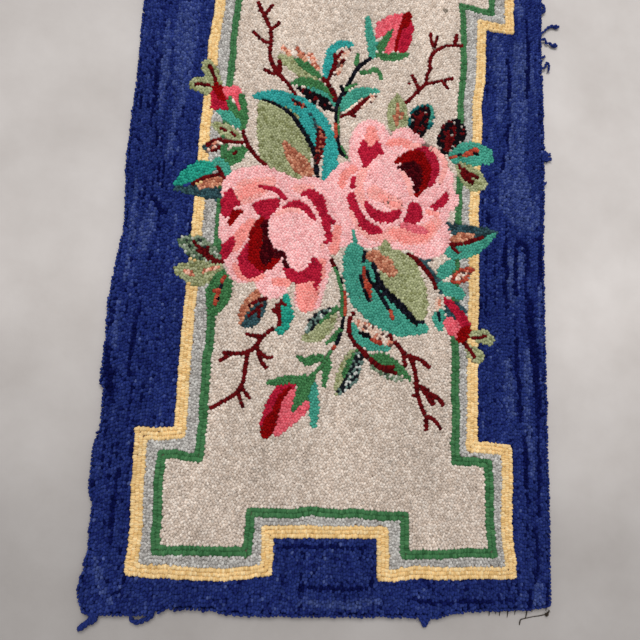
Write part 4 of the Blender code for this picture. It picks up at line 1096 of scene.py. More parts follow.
def free_starts(plan, fixed, random):
    """Starting places of the field's and the bouquet's loops, evenly spread."""
    pitch = math.sqrt(LOOP_AREA * 2 / math.sqrt(3))
    rows = np.arange(-PLAN_HALF[1], PLAN_HALF[1], pitch * math.sqrt(3) / 2)
    places = []
    for number, y in enumerate(rows):
        x = np.arange(-PLAN_HALF[0], PLAN_HALF[0], pitch) + (number % 2) * pitch / 2
        places.append(np.column_stack([x, np.full(len(x), y)]))
    places = np.vstack(places)
    places += random.normal(0, 0.5, places.shape)
    columns, rows = plan_cells(places).T
    places = places[plan[rows, columns] >= 0]
    keep = np.ones(len(places), bool)
    cells = {}
    for x, y in fixed:
        cells.setdefault((int(x // START_CELL), int(y // START_CELL)), []).append((x, y))
    for number, (x, y) in enumerate(places):
        column, row = int(x // START_CELL), int(y // START_CELL)
        near = [cells.get((column + i, row + j), ()) for i in (-1, 0, 1) for j in (-1, 0, 1)]
        keep[number] = not any(math.hypot(x - u, y - v) < START_APART for some in near for u, v in some)
    return places[keep]


def neighbours(places, cell=5.5, most=7):
    """Numbers of the places in each place's cell and the eight round it, -1 where there are none."""
    columns = np.floor((places[:, 0] + PLAN_HALF[0]) / cell).astype(int) + 1
    rows = np.floor((places[:, 1] + PLAN_HALF[1]) / cell).astype(int) + 1
    across = int(2 * PLAN_HALF[0] / cell) + 4
    key = rows * across + columns
    order = np.argsort(key, kind="stable")
    ordered = key[order]
    first = np.searchsorted(ordered, ordered)
    rank = np.arange(len(places)) - first
    table = np.full((key.max() + across + 3, most), -1)
    fits = rank < most
    table[ordered[fits], rank[fits]] = order[fits]
    around = [table[key + i * across + j] for i in (-1, 0, 1) for j in (-1, 0, 1)]
    return np.hstack(around)


def settle(free, fixed, plan, way, nearest, rounds):
    """Pushes the free loops apart until they lie evenly, each within its own yarn's part of the plan."""
    count = len(free["place"])
    places = np.vstack([free["place"], fixed["place"]])
    angles = np.concatenate([free["angle"], fixed["angle"]])
    own = free["yarn"]
    me = np.arange(count)[:, None]
    for _ in range(rounds):
        near = neighbours(places)[:count]
        valid = (near >= 0) & (near != me)
        gap = places[me[:, 0], None] - places[near]
        push = np.zeros((count, 2))
        for turn in (angles[:count, None], angles[near]):
            cos, sin = np.cos(turn), np.sin(turn)
            along = (gap[..., 0] * cos + gap[..., 1] * sin) / LOOP_LONG
            across = (gap[..., 1] * cos - gap[..., 0] * sin) / LOOP_WIDE
            crowd = np.clip(CROWD_REACH - np.hypot(along, across), 0, 1) * valid
            size = np.hypot(gap[..., 0], gap[..., 1]) + 1e-6
            push += np.einsum("ij,ijk->ik", crowd / size, gap) * CROWD_PUSH
        columns, rows = plan_cells(places[:count]).T
        close = nearest[rows, columns]
        edge = np.nan_to_num(way[rows, columns]) / np.maximum(close, 1e-6)[:, None]
        edge[~np.isfinite(close)] = 0
        push -= edge * np.clip(EDGE_REACH - close, 0, 1)[:, None] * EDGE_PUSH
        size = np.hypot(*push.T)
        push *= (np.minimum(size, 1.0) / np.maximum(size, 1e-6))[:, None]
        moved = places[:count] + push
        columns, rows = plan_cells(moved).T
        stays = plan[rows, columns] == own
        places[:count][stays] = moved[stays]
    free["place"] = places[:count]
    return free


def turn_to_edges(free, way, nearest, random):
    """Loops near the edge of a shape stand square to it, and the others mostly along the rug."""
    columns, rows = plan_cells(free["place"]).T
    close = nearest[rows, columns]
    edge = np.nan_to_num(way[rows, columns])
    square = np.arctan2(edge[:, 1], edge[:, 0]) + random.normal(0, 0.2, len(close))
    plain = math.pi / 2 + random.normal(0, 0.5, len(close))
    free["angle"] = np.where(close <= SQUARE_REACH, square, plain)
    return free


def free_loops(chart, narrow, fixed, random):
    """The field's, the grey line's and the bouquet's loops, which settle between the fixed ones."""
    plan = free_plan(chart, narrow)
    way, nearest = nearest_other(plan)
    places = free_starts(plan, fixed["place"], random)
    columns, rows = plan_cells(places).T
    free = loop_set(places, 0.0, plan[rows, columns])
    for rounds in SETTLE_ROUNDS:
        free = turn_to_edges(free, way, nearest, random)
        free = settle(free, fixed, plan, way, nearest, rounds)
    return free


# Meshes
def new_piece(name, points, faces, materials, numbers):
    """A piece from points in millimetres, arrays of faces, and the number of each face's material."""
    mesh = bpy.data.meshes.new(name)
    counts = np.repeat([some.shape[1] for some in faces], [len(some) for some in faces])
    corners = np.concatenate([some.ravel() for some in faces])
    mesh.vertices.add(len(points))
    mesh.vertices.foreach_set("co", (points * MM).astype(np.float32).ravel())
    mesh.loops.add(len(corners))
    mesh.loops.foreach_set("vertex_index", corners.astype(np.int32))
    mesh.polygons.add(len(counts))
    mesh.polygons.foreach_set("loop_start", np.concatenate([[0], np.cumsum(counts)[:-1]]).astype(np.int32))
    mesh.polygons.foreach_set("material_index", np.asarray(numbers, np.int32))
    mesh.polygons.foreach_set("use_smooth", np.ones(len(counts), bool))
    for material in materials:
        mesh.materials.append(material)
    plan_map = mesh.uv_layers.new(name="OFBake")
    flat = (points[corners][:, :2] + PLAN_HALF) / (2 * max(PLAN_HALF))
    plan_map.data.foreach_set("uv", flat.astype(np.float32).ravel())
    mesh.update(calc_edges=True)
    mesh.validate()
    piece = bpy.data.objects.new(name, mesh)
    bpy.context.scene.collection.objects.link(piece)
    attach(piece, "root")
    return piece


def point_values(piece, name, values):
    """Keeps one value for each point of the piece, for its material."""
    layer = piece.data.attributes.new(name, "FLOAT", "POINT")
    layer.data.foreach_set("value", np.asarray(values, np.float32))


def even_dye(piece, lot, patch):
    """One dye lot and one shade for a whole piece."""
    for name, value in (("dye_lot", lot), ("dye_patch", patch)):
        point_values(piece, name, np.full(len(piece.data.vertices), value))


def yarn_map(piece, places):
    """The map named yarn, from one place in millimetres for each of the piece's points."""
    mesh = piece.data
    corners = np.zeros(len(mesh.loops), np.int32)
    mesh.loops.foreach_get("vertex_index", corners)
    layer = mesh.uv_layers.new(name="yarn")
    layer.data.foreach_set("uv", places[corners].astype(np.float32).ravel())


def yarns_used(loops):
    """Materials of the yarns that a set of loops holds, and the number of each loop's material."""
    used = np.unique(loops["yarn"])
    names = list(YARNS)
    return [yarn_material(names[number]) for number in used], np.searchsorted(used, loops["yarn"])


def loop_points(loops, levels, random):
    """Rings of six points for each loop, one for each level, and a point on top."""
    count = len(loops["place"])
    cos, sin = np.cos(loops["angle"]), np.sin(loops["angle"])
    lean = random.normal(0, 0.3, (count, 2))
    rise = random.normal(0, 0.28, count)
    rings = []
    top_level = levels[-1][0]
    for height, long, wide in levels:
        u = HEX[:, 0] * (loops["long"] * long / 2)[:, None]
        v = HEX[:, 1] * (loops["wide"] * wide / 2)[:, None]
        share = (height - levels[0][0]) / (LOOP_TOP - levels[0][0])
        x = loops["place"][:, :1] + u * cos[:, None] - v * sin[:, None] + lean[:, :1] * share
        y = loops["place"][:, 1:] + u * sin[:, None] + v * cos[:, None] + lean[:, 1:] * share
        z = np.full((count, 6), height) + (rise[:, None] if height == top_level else 0)
        if height == top_level:
            z = z - np.abs(HEX[:, 0]) * 0.35
        rings.append(np.stack([x, y, z], 2))
    apex = np.column_stack([loops["place"] + lean, LOOP_TOP + rise])[:, None, :]
    return np.concatenate(rings + [apex], 1)


def loop_faces(count, levels):
    """Faces of the loops: a wall of quads between the rings, and a cap of triangles."""
    each = 6 * levels + 1
    base = (np.arange(count) * each)[:, None, None]
    here = np.arange(6)
    after = (here + 1) % 6
    walls = []
    for level in range(levels - 1):
        low, high = 6 * level, 6 * (level + 1)
        walls.append(np.column_stack([low + here, low + after, high + after, high + here]))
    walls = np.vstack(walls)
    last = 6 * (levels - 1)
    cap = np.column_stack([last + here, last + after, np.full(6, each - 1)])
    return [(base + walls).reshape(-1, 4), (base + cap).reshape(-1, 3)]


def loops_piece(name, loops, levels, random):
    """A piece of pile with its yarns as materials, a shade for each loop and its dye lot."""
    count = len(loops["place"])
    points = loop_points(loops, levels, random)
    each = points.shape[1]
    faces = loop_faces(count, len(levels))
    materials, slots = yarns_used(loops)
    numbers = np.concatenate([np.repeat(slots, len(some) // count) for some in faces])
    piece = new_piece(name, points.reshape(-1, 3), faces, materials, numbers)
    lot = random.random(count)
    patch = dye_patch(loops["place"]) + 0.24 * loops["shade"] + random.normal(0, 0.11, count)
    point_values(piece, "dye_lot", np.repeat(lot, each))
    point_values(piece, "dye_patch", np.repeat(np.clip(patch, 0, 1), each))
    add_yarn_map(piece, loops, each, random)
    return piece


def dye_patch(places):
    """Slow changes of shade over the rug, 0 to 1."""
    x, y = places.T
    slow = np.sin(x / 33.0 + 1.0) * np.sin(y / 71.0)
    quick = np.sin(x / 9.0 + y / 90.0) * np.sin(y / 29.0 + 1.7)
    return 0.5 + 0.12 * (slow + 0.7 * quick)


def add_yarn_map(piece, loops, each, random):
    """A second map that runs along and across each loop, in millimetres, for the yarn's twist."""
    points = np.zeros(len(piece.data.vertices) * 3, np.float32)
    piece.data.vertices.foreach_get("co", points)
    points = points.reshape(-1, 3) / MM
    owner = np.repeat(np.arange(len(loops["place"])), each)
    gap = points[:, :2] - loops["place"][owner]
    cos, sin = np.cos(loops["angle"])[owner], np.sin(loops["angle"])[owner]
    start = random.uniform(0, 40, len(loops["place"]))[owner]
    along = gap[:, 0] * cos + gap[:, 1] * sin + start
    across = gap[:, 1] * cos - gap[:, 0] * sin + (LOOP_TOP - points[:, 2]) * 0.4
    yarn_map(piece, np.column_stack([along, across]))


# Shader helpers
def colour(text):
    """Linear colour of a hex code."""
    parts = [int(text[i:i + 2], 16) / 255 for i in (1, 3, 5)]
    linear = [part / 12.92 if part <= 0.04045 else ((part + 0.055) / 1.055) ** 2.4 for part in parts]
    return (*linear, 1.0)


def add_node(tree, kind, values=None, settings=None):
    """A node of a kind, with its sockets' values and its own settings."""
    node = tree.nodes.new(kind)
    for key, value in (settings or {}).items():
        setattr(node, key, value)
    for socket, value in (values or {}).items():
        node.inputs[socket].default_value = value
    return node


def new_group(name, inputs, outputs):
    """An empty node group. inputs: name, kind and default value. outputs: name and kind."""
    group = bpy.data.node_groups.new(name, "ShaderNodeTree")
    for socket, kind, value in inputs:
        made = group.interface.new_socket(socket, in_out="INPUT", socket_type=kind)
        made.default_value = value
    for socket, kind in outputs:
        group.interface.new_socket(socket, in_out="OUTPUT", socket_type=kind)
    return group, group.nodes.new("NodeGroupInput"), group.nodes.new("NodeGroupOutput")


def use_group(tree, group, values=None):
    """A node that stands for a node group, with its own values."""
    return add_node(tree, "ShaderNodeGroup", values, settings={"node_tree": group})


def link_all(tree, rows):
    """Joins sockets. Each row: node, output, node, input."""
    for source, output, target, socket in rows:
        tree.links.new(source.outputs[output], target.inputs[socket])


def math_node(tree, operation, a, b=None):
    node = add_node(tree, "ShaderNodeMath", settings={"operation": operation})
    for socket, value in zip(node.inputs, (a, b)):
        if value is None:
            continue
        if isinstance(value, (int, float)):
            socket.default_value = value
        else:
            tree.links.new(value, socket)
    return node.outputs[0]


def yarn_twist_group():
    """Plies and loose fibres of wool yarn, along the map named yarn."""
    group, inputs, outputs = new_group(
        "Yarn twist",
        [("Ply Width", "NodeSocketFloat", 1.3), ("Fibre Size", "NodeSocketFloat", 0.25),
         ("Fleck Size", "NodeSocketFloat", 2.0)],
        [("Ply", "NodeSocketFloat"), ("Fibre", "NodeSocketFloat"), ("Fleck", "NodeSocketFloat"),
         ("Height", "NodeSocketFloat")],
    )
    links = group.links
    yarn = add_node(group, "ShaderNodeUVMap", settings={"uv_map": "yarn"})
    turned = add_node(group, "ShaderNodeMapping", {"Rotation": (0, 0, math.radians(52))})
    links.new(yarn.outputs["UV"], turned.inputs["Vector"])
    split = add_node(group, "ShaderNodeSeparateXYZ")
    links.new(turned.outputs["Vector"], split.inputs[0])
    turns = math_node(group, "DIVIDE", split.outputs["X"], inputs.outputs["Ply Width"])
    wave = math_node(group, "SINE", math_node(group, "MULTIPLY", turns, 2 * math.pi))
    ply = math_node(group, "MULTIPLY_ADD", wave, 0.5)
    group.nodes[-1].inputs[2].default_value = 0.5
    place = add_node(group, "ShaderNodeTexCoord")
    fine = math_node(group, "DIVIDE", 1000.0, inputs.outputs["Fibre Size"])
    noise = add_node(group, "ShaderNodeTexNoise", {"Detail": 2.0, "Roughness": 0.6})
    links.new(place.outputs["Object"], noise.inputs["Vector"])
    links.new(math_node(group, "MULTIPLY", fine, 0.5), noise.inputs["Scale"])
    height = math_node(group, "ADD", math_node(group, "MULTIPLY", ply, 0.55), noise.outputs["Fac"])
    flecks = add_node(group, "ShaderNodeTexNoise", {"Detail": 1.0, "Roughness": 0.5})
    links.new(place.outputs["Object"], flecks.inputs["Vector"])
    links.new(math_node(group, "DIVIDE", 1000.0, inputs.outputs["Fleck Size"]), flecks.inputs["Scale"])
    links.new(ply, outputs.inputs["Ply"])
    link_all(group, [
        (flecks, "Fac", outputs, "Fleck"),
        (noise, "Fac", outputs, "Fibre"),
    ])
    links.new(height, outputs.inputs["Height"])
    return group


def wool_shade_group():
    """Shade of dyed wool: slow dye patches, painted shade deeper between the plies, and lighter on the fibres."""
    group, inputs, outputs = new_group(
        "Wool shade",
        [
            ("Colour", "NodeSocketColor", (0.5, 0.5, 0.5, 1)), ("Patch", "NodeSocketFloat", 0.5),
            ("Ply", "NodeSocketFloat", 0.5), ("Fibre", "NodeSocketFloat", 0.5),
            ("Patch Strength", "NodeSocketFloat", 0.5), ("Groove Shade Strength", "NodeSocketFloat", 0.14),
            ("Fleck", "NodeSocketFloat", 0.5), ("Fleck Strength", "NodeSocketFloat", 0.2),
        ],
        [("Colour", "NodeSocketColor"), ("Roughness", "NodeSocketFloat")],
    )
    links = group.links
    patch = math_node(group, "MULTIPLY", math_node(group, "SUBTRACT", inputs.outputs["Patch"], 0.5),
                      inputs.outputs["Patch Strength"])
    # Painted shade: the colour is darker in the grooves between the plies
    ply = math_node(group, "MULTIPLY", math_node(group, "SUBTRACT", inputs.outputs["Ply"], 0.5),
                    inputs.outputs["Groove Shade Strength"])
    fibre = math_node(group, "MULTIPLY", math_node(group, "SUBTRACT", inputs.outputs["Fibre"], 0.5), 0.5)
    fleck = math_node(group, "MULTIPLY", math_node(group, "SUBTRACT", inputs.outputs["Fleck"], 0.5),
                      inputs.outputs["Fleck Strength"])
    slow = math_node(group, "ADD", patch, ply)
    light = math_node(group, "ADD", slow, math_node(group, "ADD", fibre, fleck))
    value = math_node(group, "ADD", light, 1.0)
    shade = add_node(group, "ShaderNodeHueSaturation")
    links.new(inputs.outputs["Colour"], shade.inputs["Color"])
    links.new(value, shade.inputs["Value"])
    links.new(shade.outputs["Color"], outputs.inputs["Colour"])
    links.new(math_node(group, "SUBTRACT", 1.0, math_node(group, "MULTIPLY", inputs.outputs["Fibre"], 0.15)),
              outputs.inputs["Roughness"])
    return group


def weave_group():
    """Plain weave of coarse threads: a mask of thread against gap, a height and an uneven thread tone."""
    group, inputs, outputs = new_group(
        "Plain weave",
        [("Thread Width", "NodeSocketFloat", 1.6), ("Unevenness", "NodeSocketFloat", 0.3)],
        [("Thread", "NodeSocketFloat"), ("Tone", "NodeSocketFloat"), ("Height", "NodeSocketFloat")],
    )
    links = group.links
    place = add_node(group, "ShaderNodeTexCoord")
    bent = add_node(group, "ShaderNodeTexNoise", {"Scale": 60.0, "Detail": 1.0})
    links.new(place.outputs["Object"], bent.inputs["Vector"])
    split = add_node(group, "ShaderNodeSeparateXYZ")
    links.new(place.outputs["Object"], split.inputs[0])
    drift = math_node(group, "MULTIPLY", bent.outputs["Fac"], inputs.outputs["Unevenness"])
    waves = []
    for axis in ("X", "Y"):
        count = math_node(group, "DIVIDE", math_node(group, "MULTIPLY", split.outputs[axis], 1000.0),
                          inputs.outputs["Thread Width"])
        turn = math_node(group, "MULTIPLY", math_node(group, "ADD", count, drift), math.pi)
        waves.append(math_node(group, "ABSOLUTE", math_node(group, "SINE", turn)))
    over = math_node(group, "MAXIMUM", waves[0], waves[1])
    under = math_node(group, "MINIMUM", waves[0], waves[1])
    height = math_node(group, "ADD", over, math_node(group, "MULTIPLY", under, 0.6))
    fine = add_node(group, "ShaderNodeTexNoise", {"Scale": 900.0, "Detail": 3.0})
    links.new(place.outputs["Object"], fine.inputs["Vector"])
    links.new(math_node(group, "GREATER_THAN", over, 0.45), outputs.inputs["Thread"])
    links.new(math_node(group, "MULTIPLY_ADD", fine.outputs["Fac"], 0.6), outputs.inputs["Tone"])
    links.new(height, outputs.inputs["Height"])
    return group


GROUPS = {"twist": yarn_twist_group(), "shade": wool_shade_group(), "weave": weave_group()}


def base_material(name):
    material = bpy.data.materials.new(name)
    material.use_nodes = True
    tree = material.node_tree
    shader = tree.nodes["Principled BSDF"]
    return material, tree, shader


def yarn_material(yarn):
    """Dyed wool of one yarn, its lots told apart loop by loop."""
    name = "wool_" + yarn
    if name in bpy.data.materials:
        return bpy.data.materials[name]
    material, tree, shader = base_material(name)
    lot = add_node(tree, "ShaderNodeAttribute", settings={"attribute_name": "dye_lot"})
    patch = add_node(tree, "ShaderNodeAttribute", settings={"attribute_name": "dye_patch"})
    ramp = add_node(tree, "ShaderNodeValToRGB")
    ramp.color_ramp.interpolation = "CONSTANT"
    lots = YARNS[yarn]
    elements = ramp.color_ramp.elements
    while len(elements) < len(lots):
        elements.new(0.5)
    reach = 0.0
    for element, (share, code) in zip(elements, lots):
        element.position = reach
        element.color = colour(code)
        reach += share
    twist = use_group(tree, GROUPS["twist"])
    shade = use_group(tree, GROUPS["shade"], {"Fleck Strength": FLECKS.get(yarn, 0.3)})
    bump = add_node(tree, "ShaderNodeBump", {"Strength": 0.5, "Distance": 0.0006})
    link_all(tree, [
        (lot, "Fac", ramp, "Fac"),
        (ramp, "Color", shade, "Colour"),
        (patch, "Fac", shade, "Patch"),
        (twist, "Ply", shade, "Ply"),
        (twist, "Fibre", shade, "Fibre"),
        (twist, "Fleck", shade, "Fleck"),
        (shade, "Colour", shader, "Base Color"),
        (shade, "Roughness", shader, "Roughness"),
        (twist, "Height", bump, "Height"),
        (bump, "Normal", shader, "Normal"),
    ])
    shader.inputs["Specular IOR Level"].default_value = 0.03
    return material


def burlap_material():
    material, tree, shader = base_material("burlap_cloth")
    weave = use_group(tree, GROUPS["weave"])
    ramp = add_node(tree, "ShaderNodeValToRGB")
    ramp.color_ramp.elements[0].color = colour("#7A5C3A")
    ramp.color_ramp.elements[1].color = colour("#C3A478")
    # Painted shade: the gaps between the threads are a dark brown
    gap = add_node(tree, "ShaderNodeMix", settings={"data_type": "RGBA"})
    gap.inputs["A"].default_value = colour("#4A3521")
    bump = add_node(tree, "ShaderNodeBump", {"Strength": 0.7, "Distance": 0.0005})
    link_all(tree, [
        (weave, "Tone", ramp, "Fac"),
        (weave, "Thread", gap, "Factor"),
        (ramp, "Color", gap, "B"),
        (gap, "Result", shader, "Base Color"),
        (weave, "Height", bump, "Height"),
        (bump, "Normal", shader, "Normal"),
    ])
    shader.inputs["Roughness"].default_value = 0.95
    shader.inputs["Specular IOR Level"].default_value = 0.1
    return material


# The cloth and the bed of the pile
def slab(name, ring, low, high, grid, material):
    """A closed flat slab with an even net of points inside its ring."""
    ring = np.asarray(ring)
    across = np.arange(ring[:, 0].min() + grid, ring[:, 0].max() - grid / 2, grid)
    along = np.arange(ring[:, 1].min() + grid, ring[:, 1].max() - grid / 2, grid)
    net = np.array([(x, y) for y in along for x in across])
    net = net[inside_of(ring, net)]
    net = net[distance_to(ring, net) > grid * 0.4]
    flat = [Vector(point) for point in np.vstack([ring, net])]
    count = len(ring)
    edges = [(i, (i + 1) % count) for i in range(count)]
    points, _, triangles, _, _, _ = delaunay_2d_cdt(flat, edges, [list(range(count))], 1, 1e-4)
    plane = np.array([tuple(point) for point in points])
    triangles = np.array(triangles)
    total = len(plane)
    rolled = 0.12 * np.sin(plane[:, 0] / 43.0) * np.sin(plane[:, 1] / 61.0)
    top = np.column_stack([plane, high + rolled])
    bottom = np.column_stack([plane, np.full(total, low)])
    here = np.arange(count)
    after = (here + 1) % count
    sides = np.column_stack([here + total, after + total, after, here])
    faces = [np.vstack([triangles, triangles[:, ::-1] + total]), sides]
    numbers = np.zeros(len(faces[0]) + len(faces[1]), int)
    return new_piece(name, np.vstack([top, bottom]), faces, [material], numbers)


def stitches_piece(loops, random):
    """The flat stitches under the cloth, one for every second loop."""
    keep = np.arange(len(loops["place"])) % 2 == 0
    loops = chosen(loops, keep)
    count = len(loops["place"])
    turn = loops["angle"] + random.normal(0, 0.3, count)
    cos, sin = np.cos(turn), np.sin(turn)
    corners = np.array([(3.4, 0), (0, 1.5), (-3.4, 0), (0, -1.5)])
    x = loops["place"][:, :1] + corners[:, 0] * cos[:, None] - corners[:, 1] * sin[:, None]
    y = loops["place"][:, 1:] + corners[:, 0] * sin[:, None] + corners[:, 1] * cos[:, None]
    ring = np.stack([x, y, np.full((count, 4), STITCH_ROOT)], 2)
    low = np.column_stack([loops["place"], np.full(count, STITCH_LOW)])[:, None, :]
    points = np.concatenate([ring, low], 1)
    here = np.arange(4)
    fan = np.column_stack([(here + 1) % 4, here, np.full(4, 4)])
    faces = [((np.arange(count) * 5)[:, None, None] + fan).reshape(-1, 3)]
    materials, slots = yarns_used(loops)
    piece = new_piece("stitches", points.reshape(-1, 3), faces, materials, np.repeat(slots, 4))
    point_values(piece, "dye_lot", np.repeat(random.random(count), 5))
    point_values(piece, "dye_patch", np.full(count * 5, 0.35))
    add_yarn_map(piece, loops, 5, random)
    return piece


# Ravelled yarn
def path_frame(path):
    """Directions at each point of a path: ahead, to its side and over it."""
    ahead = np.gradient(path, axis=0)
    ahead /= np.linalg.norm(ahead, axis=1)[:, None]
    side = np.cross(ahead, (0.0, 0.0, 1.0))
    side /= np.maximum(np.linalg.norm(side, axis=1), 1e-6)[:, None]
    return ahead, side, np.cross(side, ahead)


def tube(path, radius, sides, random, rough=0.0):
    """A round strand along a path, pointed at both ends. radius: one for all or one for each point."""
    path = np.asarray(path, float)
    ahead, side, over = path_frame(path)
    turn = np.arange(sides) / sides * 2 * math.pi
    reach = np.broadcast_to(radius, len(path)).astype(float)[:, None]
    if rough:
        reach = reach * (1 + random.normal(0, rough, (len(path), 1)))
    ring = (side[:, None, :] * np.cos(turn)[None, :, None] + over[:, None, :] * np.sin(turn)[None, :, None])
    ring = path[:, None, :] + ring * reach[:, :, None]
    count = len(path)
    tips = [path[:1] - ahead[:1] * reach[0], path[-1:] + ahead[-1:] * reach[-1]]
    points = np.vstack([ring.reshape(-1, 3)] + tips)
    here = np.arange(sides)
    after = (here + 1) % sides
    walls = np.vstack([
        np.column_stack([low + here, low + sides + here, low + sides + after, low + after])
        for low in np.arange(count - 1) * sides
    ])
    tip = count * sides
    ends = np.vstack([
        np.column_stack([here, after, np.full(sides, tip)]),
        np.column_stack([(count - 1) * sides + after, (count - 1) * sides + here, np.full(sides, tip + 1)]),
    ])
    return points, walls, ends


def add_parts(parts):
    """Joins tubes into one set of points and faces."""
    points = []
    walls = []
    ends = []
    total = 0
    for some, quads, triangles in parts:
        points.append(some)
        walls.append(quads + total)
        ends.append(triangles + total)
        total += len(some)
    return np.vstack(points), np.vstack(walls), np.vstack(ends)


def twisted(path, radii, plies, pitch, random):
    """Plies wound round a path, with a radius for each of its points."""
    line, share = smooth_line(path, 0.55)
    radius = np.interp(share, np.linspace(0, 1, len(radii)), radii)
    steps = np.linalg.norm(np.diff(line, axis=0), axis=1)
    along = np.concatenate([[0], np.cumsum(steps)])
    _, side, over = path_frame(line)
    parts = []
    for ply in range(plies):
        turn = along / pitch * 2 * math.pi + ply * 2 * math.pi / plies
        wound = line + (side * np.cos(turn)[:, None] + over * np.sin(turn)[:, None]) * radius[:, None] * 0.48
        parts.append(tube(wound, radius * 0.6, 6, random, 0.05))
    return parts


def frayed_end(tip, heading, spread_angle, count, length, random):
    """Loose fibres where a yarn ends."""
    parts = []
    for _ in range(count):
        turn = heading + random.normal(0, spread_angle)
        reach = length * random.uniform(0.5, 1.0)
        bend = random.normal(0, 0.3)
        t = np.linspace(0, 1, 5)[:, None]
        way = np.array([math.cos(turn), math.sin(turn), 0.0])
        across = np.array([-way[1], way[0], 0.0])
        path = np.array(tip) + way * t * reach + across * bend * reach * t ** 2
        path[:, 2] = tip[2] * (1 - 0.5 * t[:, 0])
        parts.append(tube(path, FIBRE_THICK, 3, random))
    return parts


def tails_piece(name, rows, yarn, random, loops=None):
    """The ravelled ends of one strip, with its row of loops where it has one."""
    parts = []
    for _, radii, plies, path in rows:
        parts += twisted(path, radii, plies, max(radii) * 4.4, random)
        if min(radii) > 1:
            heading = math.atan2(path[-1][1] - path[-2][1], path[-1][0] - path[-2][0])
            parts += frayed_end(path[-1], heading, FRAY_TURN, FRAY_COUNT, FRAY_LONG, random)
    points, walls, ends = add_parts(parts)
    faces = [walls, ends]
    if loops is not None:
        above = loop_points(loops, RIM_LEVELS, random)
        total = len(points)
        points = np.vstack([points, above.reshape(-1, 3)])
        faces += [some + total for some in loop_faces(len(above), len(RIM_LEVELS))]
    numbers = np.zeros(sum(len(some) for some in faces), int)
    piece = new_piece(name, points, faces, [yarn_material(yarn)], numbers)
    even_dye(piece, 0.5, 0.5)
    yarn_map(piece, points[:, :2])
    return piece


def fuzz_piece(rim, random):
    """Short wool fibres that stand out of the rim, frayed tufts and clumps of yarn."""
    places, _ = places_in_row(rim, FUZZ_PITCH)
    towards = np.roll(places, -1, 0) - np.roll(places, 1, 0)
    parts = []
    for place, way in zip(places, towards):
        heading = math.atan2(-way[0], way[1]) + random.normal(0, 0.7)
        length = random.uniform(*FUZZ_LONG)
        inwards = np.array([-math.cos(heading), -math.sin(heading)])
        start = place + inwards * 1.6
        t = np.linspace(0, 1, 4)[:, None]
        bend = random.normal(0, 0.35)
        flat = start - inwards * t * length + np.array([inwards[1], -inwards[0]]) * bend * length * t ** 2
        height = random.uniform(*FUZZ_HIGH)
        drop = height * (1 - 0.5 * t[:, 0] ** 2)
        parts.append(tube(np.column_stack([flat, drop]), FUZZ_THICK, 3, random))
    for x, y, heading, count, length in TUFTS:
        parts += frayed_end((x, y, 4.5), math.radians(heading), 0.45, count, length, random)
    for radii, path in CLUMPS:
        parts += twisted(path, radii, 2, max(radii) * 4.4, random)
    points, walls, ends = add_parts(parts)
    numbers = np.zeros(len(walls) + len(ends), int)
    piece = new_piece("rim_fuzz", points, [walls, ends], [yarn_material("navy")], numbers)
    even_dye(piece, 0.7, 0.8)
    piece.data.uv_layers.new(name="yarn")
    return piece


# The set
def studio():
    """A pale grey floor, soft light from above and the camera at the picture's angle."""
    floor_mesh = bpy.data.meshes.new("floor")
    corners = [(x * FLOOR_HALF, y * FLOOR_HALF, 0) for x, y in ((-1, -1), (1, -1), (1, 1), (-1, 1))]
    floor_mesh.from_pydata(corners, [], [(0, 1, 2, 3)])
    floor = bpy.data.objects.new("floor", floor_mesh)
    bpy.context.scene.collection.objects.link(floor)
    floor_mesh.materials.append(floor_material())
    for name, place, size, power in LAMPS:
        lamp = bpy.data.lights.new(name, "AREA")
        lamp.energy = power
        lamp.shape = "RECTANGLE"
        lamp.size, lamp.size_y = size
        lamp.color = (1.0, 0.985, 0.965)
        holder = bpy.data.objects.new(name, lamp)
        holder.location = place
        holder.rotation_euler = (-Vector(place)).to_track_quat("-Z", "Y").to_euler()
        bpy.context.scene.collection.objects.link(holder)
    world = bpy.data.worlds.new("room")
    world.use_nodes = True
    world.node_tree.nodes["Background"].inputs["Color"].default_value = (1.0, 0.99, 0.98, 1.0)
    world.node_tree.nodes["Background"].inputs["Strength"].default_value = ROOM_LIGHT
    bpy.context.scene.world = world
    camera = bpy.data.cameras.new("camera")
    camera.lens = CAMERA_LENS
    camera.sensor_width = SENSOR
    camera.clip_start = 0.01
    holder = bpy.data.objects.new("camera", camera)
    holder.location = CAMERA_AT
    holder.rotation_euler = CAMERA_TURN
    bpy.context.scene.collection.objects.link(holder)
    bpy.context.scene.camera = holder
    bpy.context.scene.view_settings.view_transform = "Standard"


def floor_painted_shade(tree, place, tones):
    """Painted light and shade on the floor: its tone by its place along one side of the floor."""
    along = add_node(tree, "ShaderNodeMapRange", {"From Min": -1.0, "From Max": 1.0})
    ramp = add_node(tree, "ShaderNodeValToRGB")
    ramp.color_ramp.interpolation = "EASE"
    stops = ramp.color_ramp.elements
    while len(stops) < len(tones):
        stops.new(0.5)
    for stop, (at, tone) in zip(stops, sorted(tones)):
        stop.position = (at + 1) / 2
        stop.color = (tone ** 2.2,) * 3 + (1.0,)
    tree.links.new(place, along.inputs["Value"])
    tree.links.new(along.outputs["Result"], ramp.inputs["Fac"])
    return ramp.outputs["Color"]


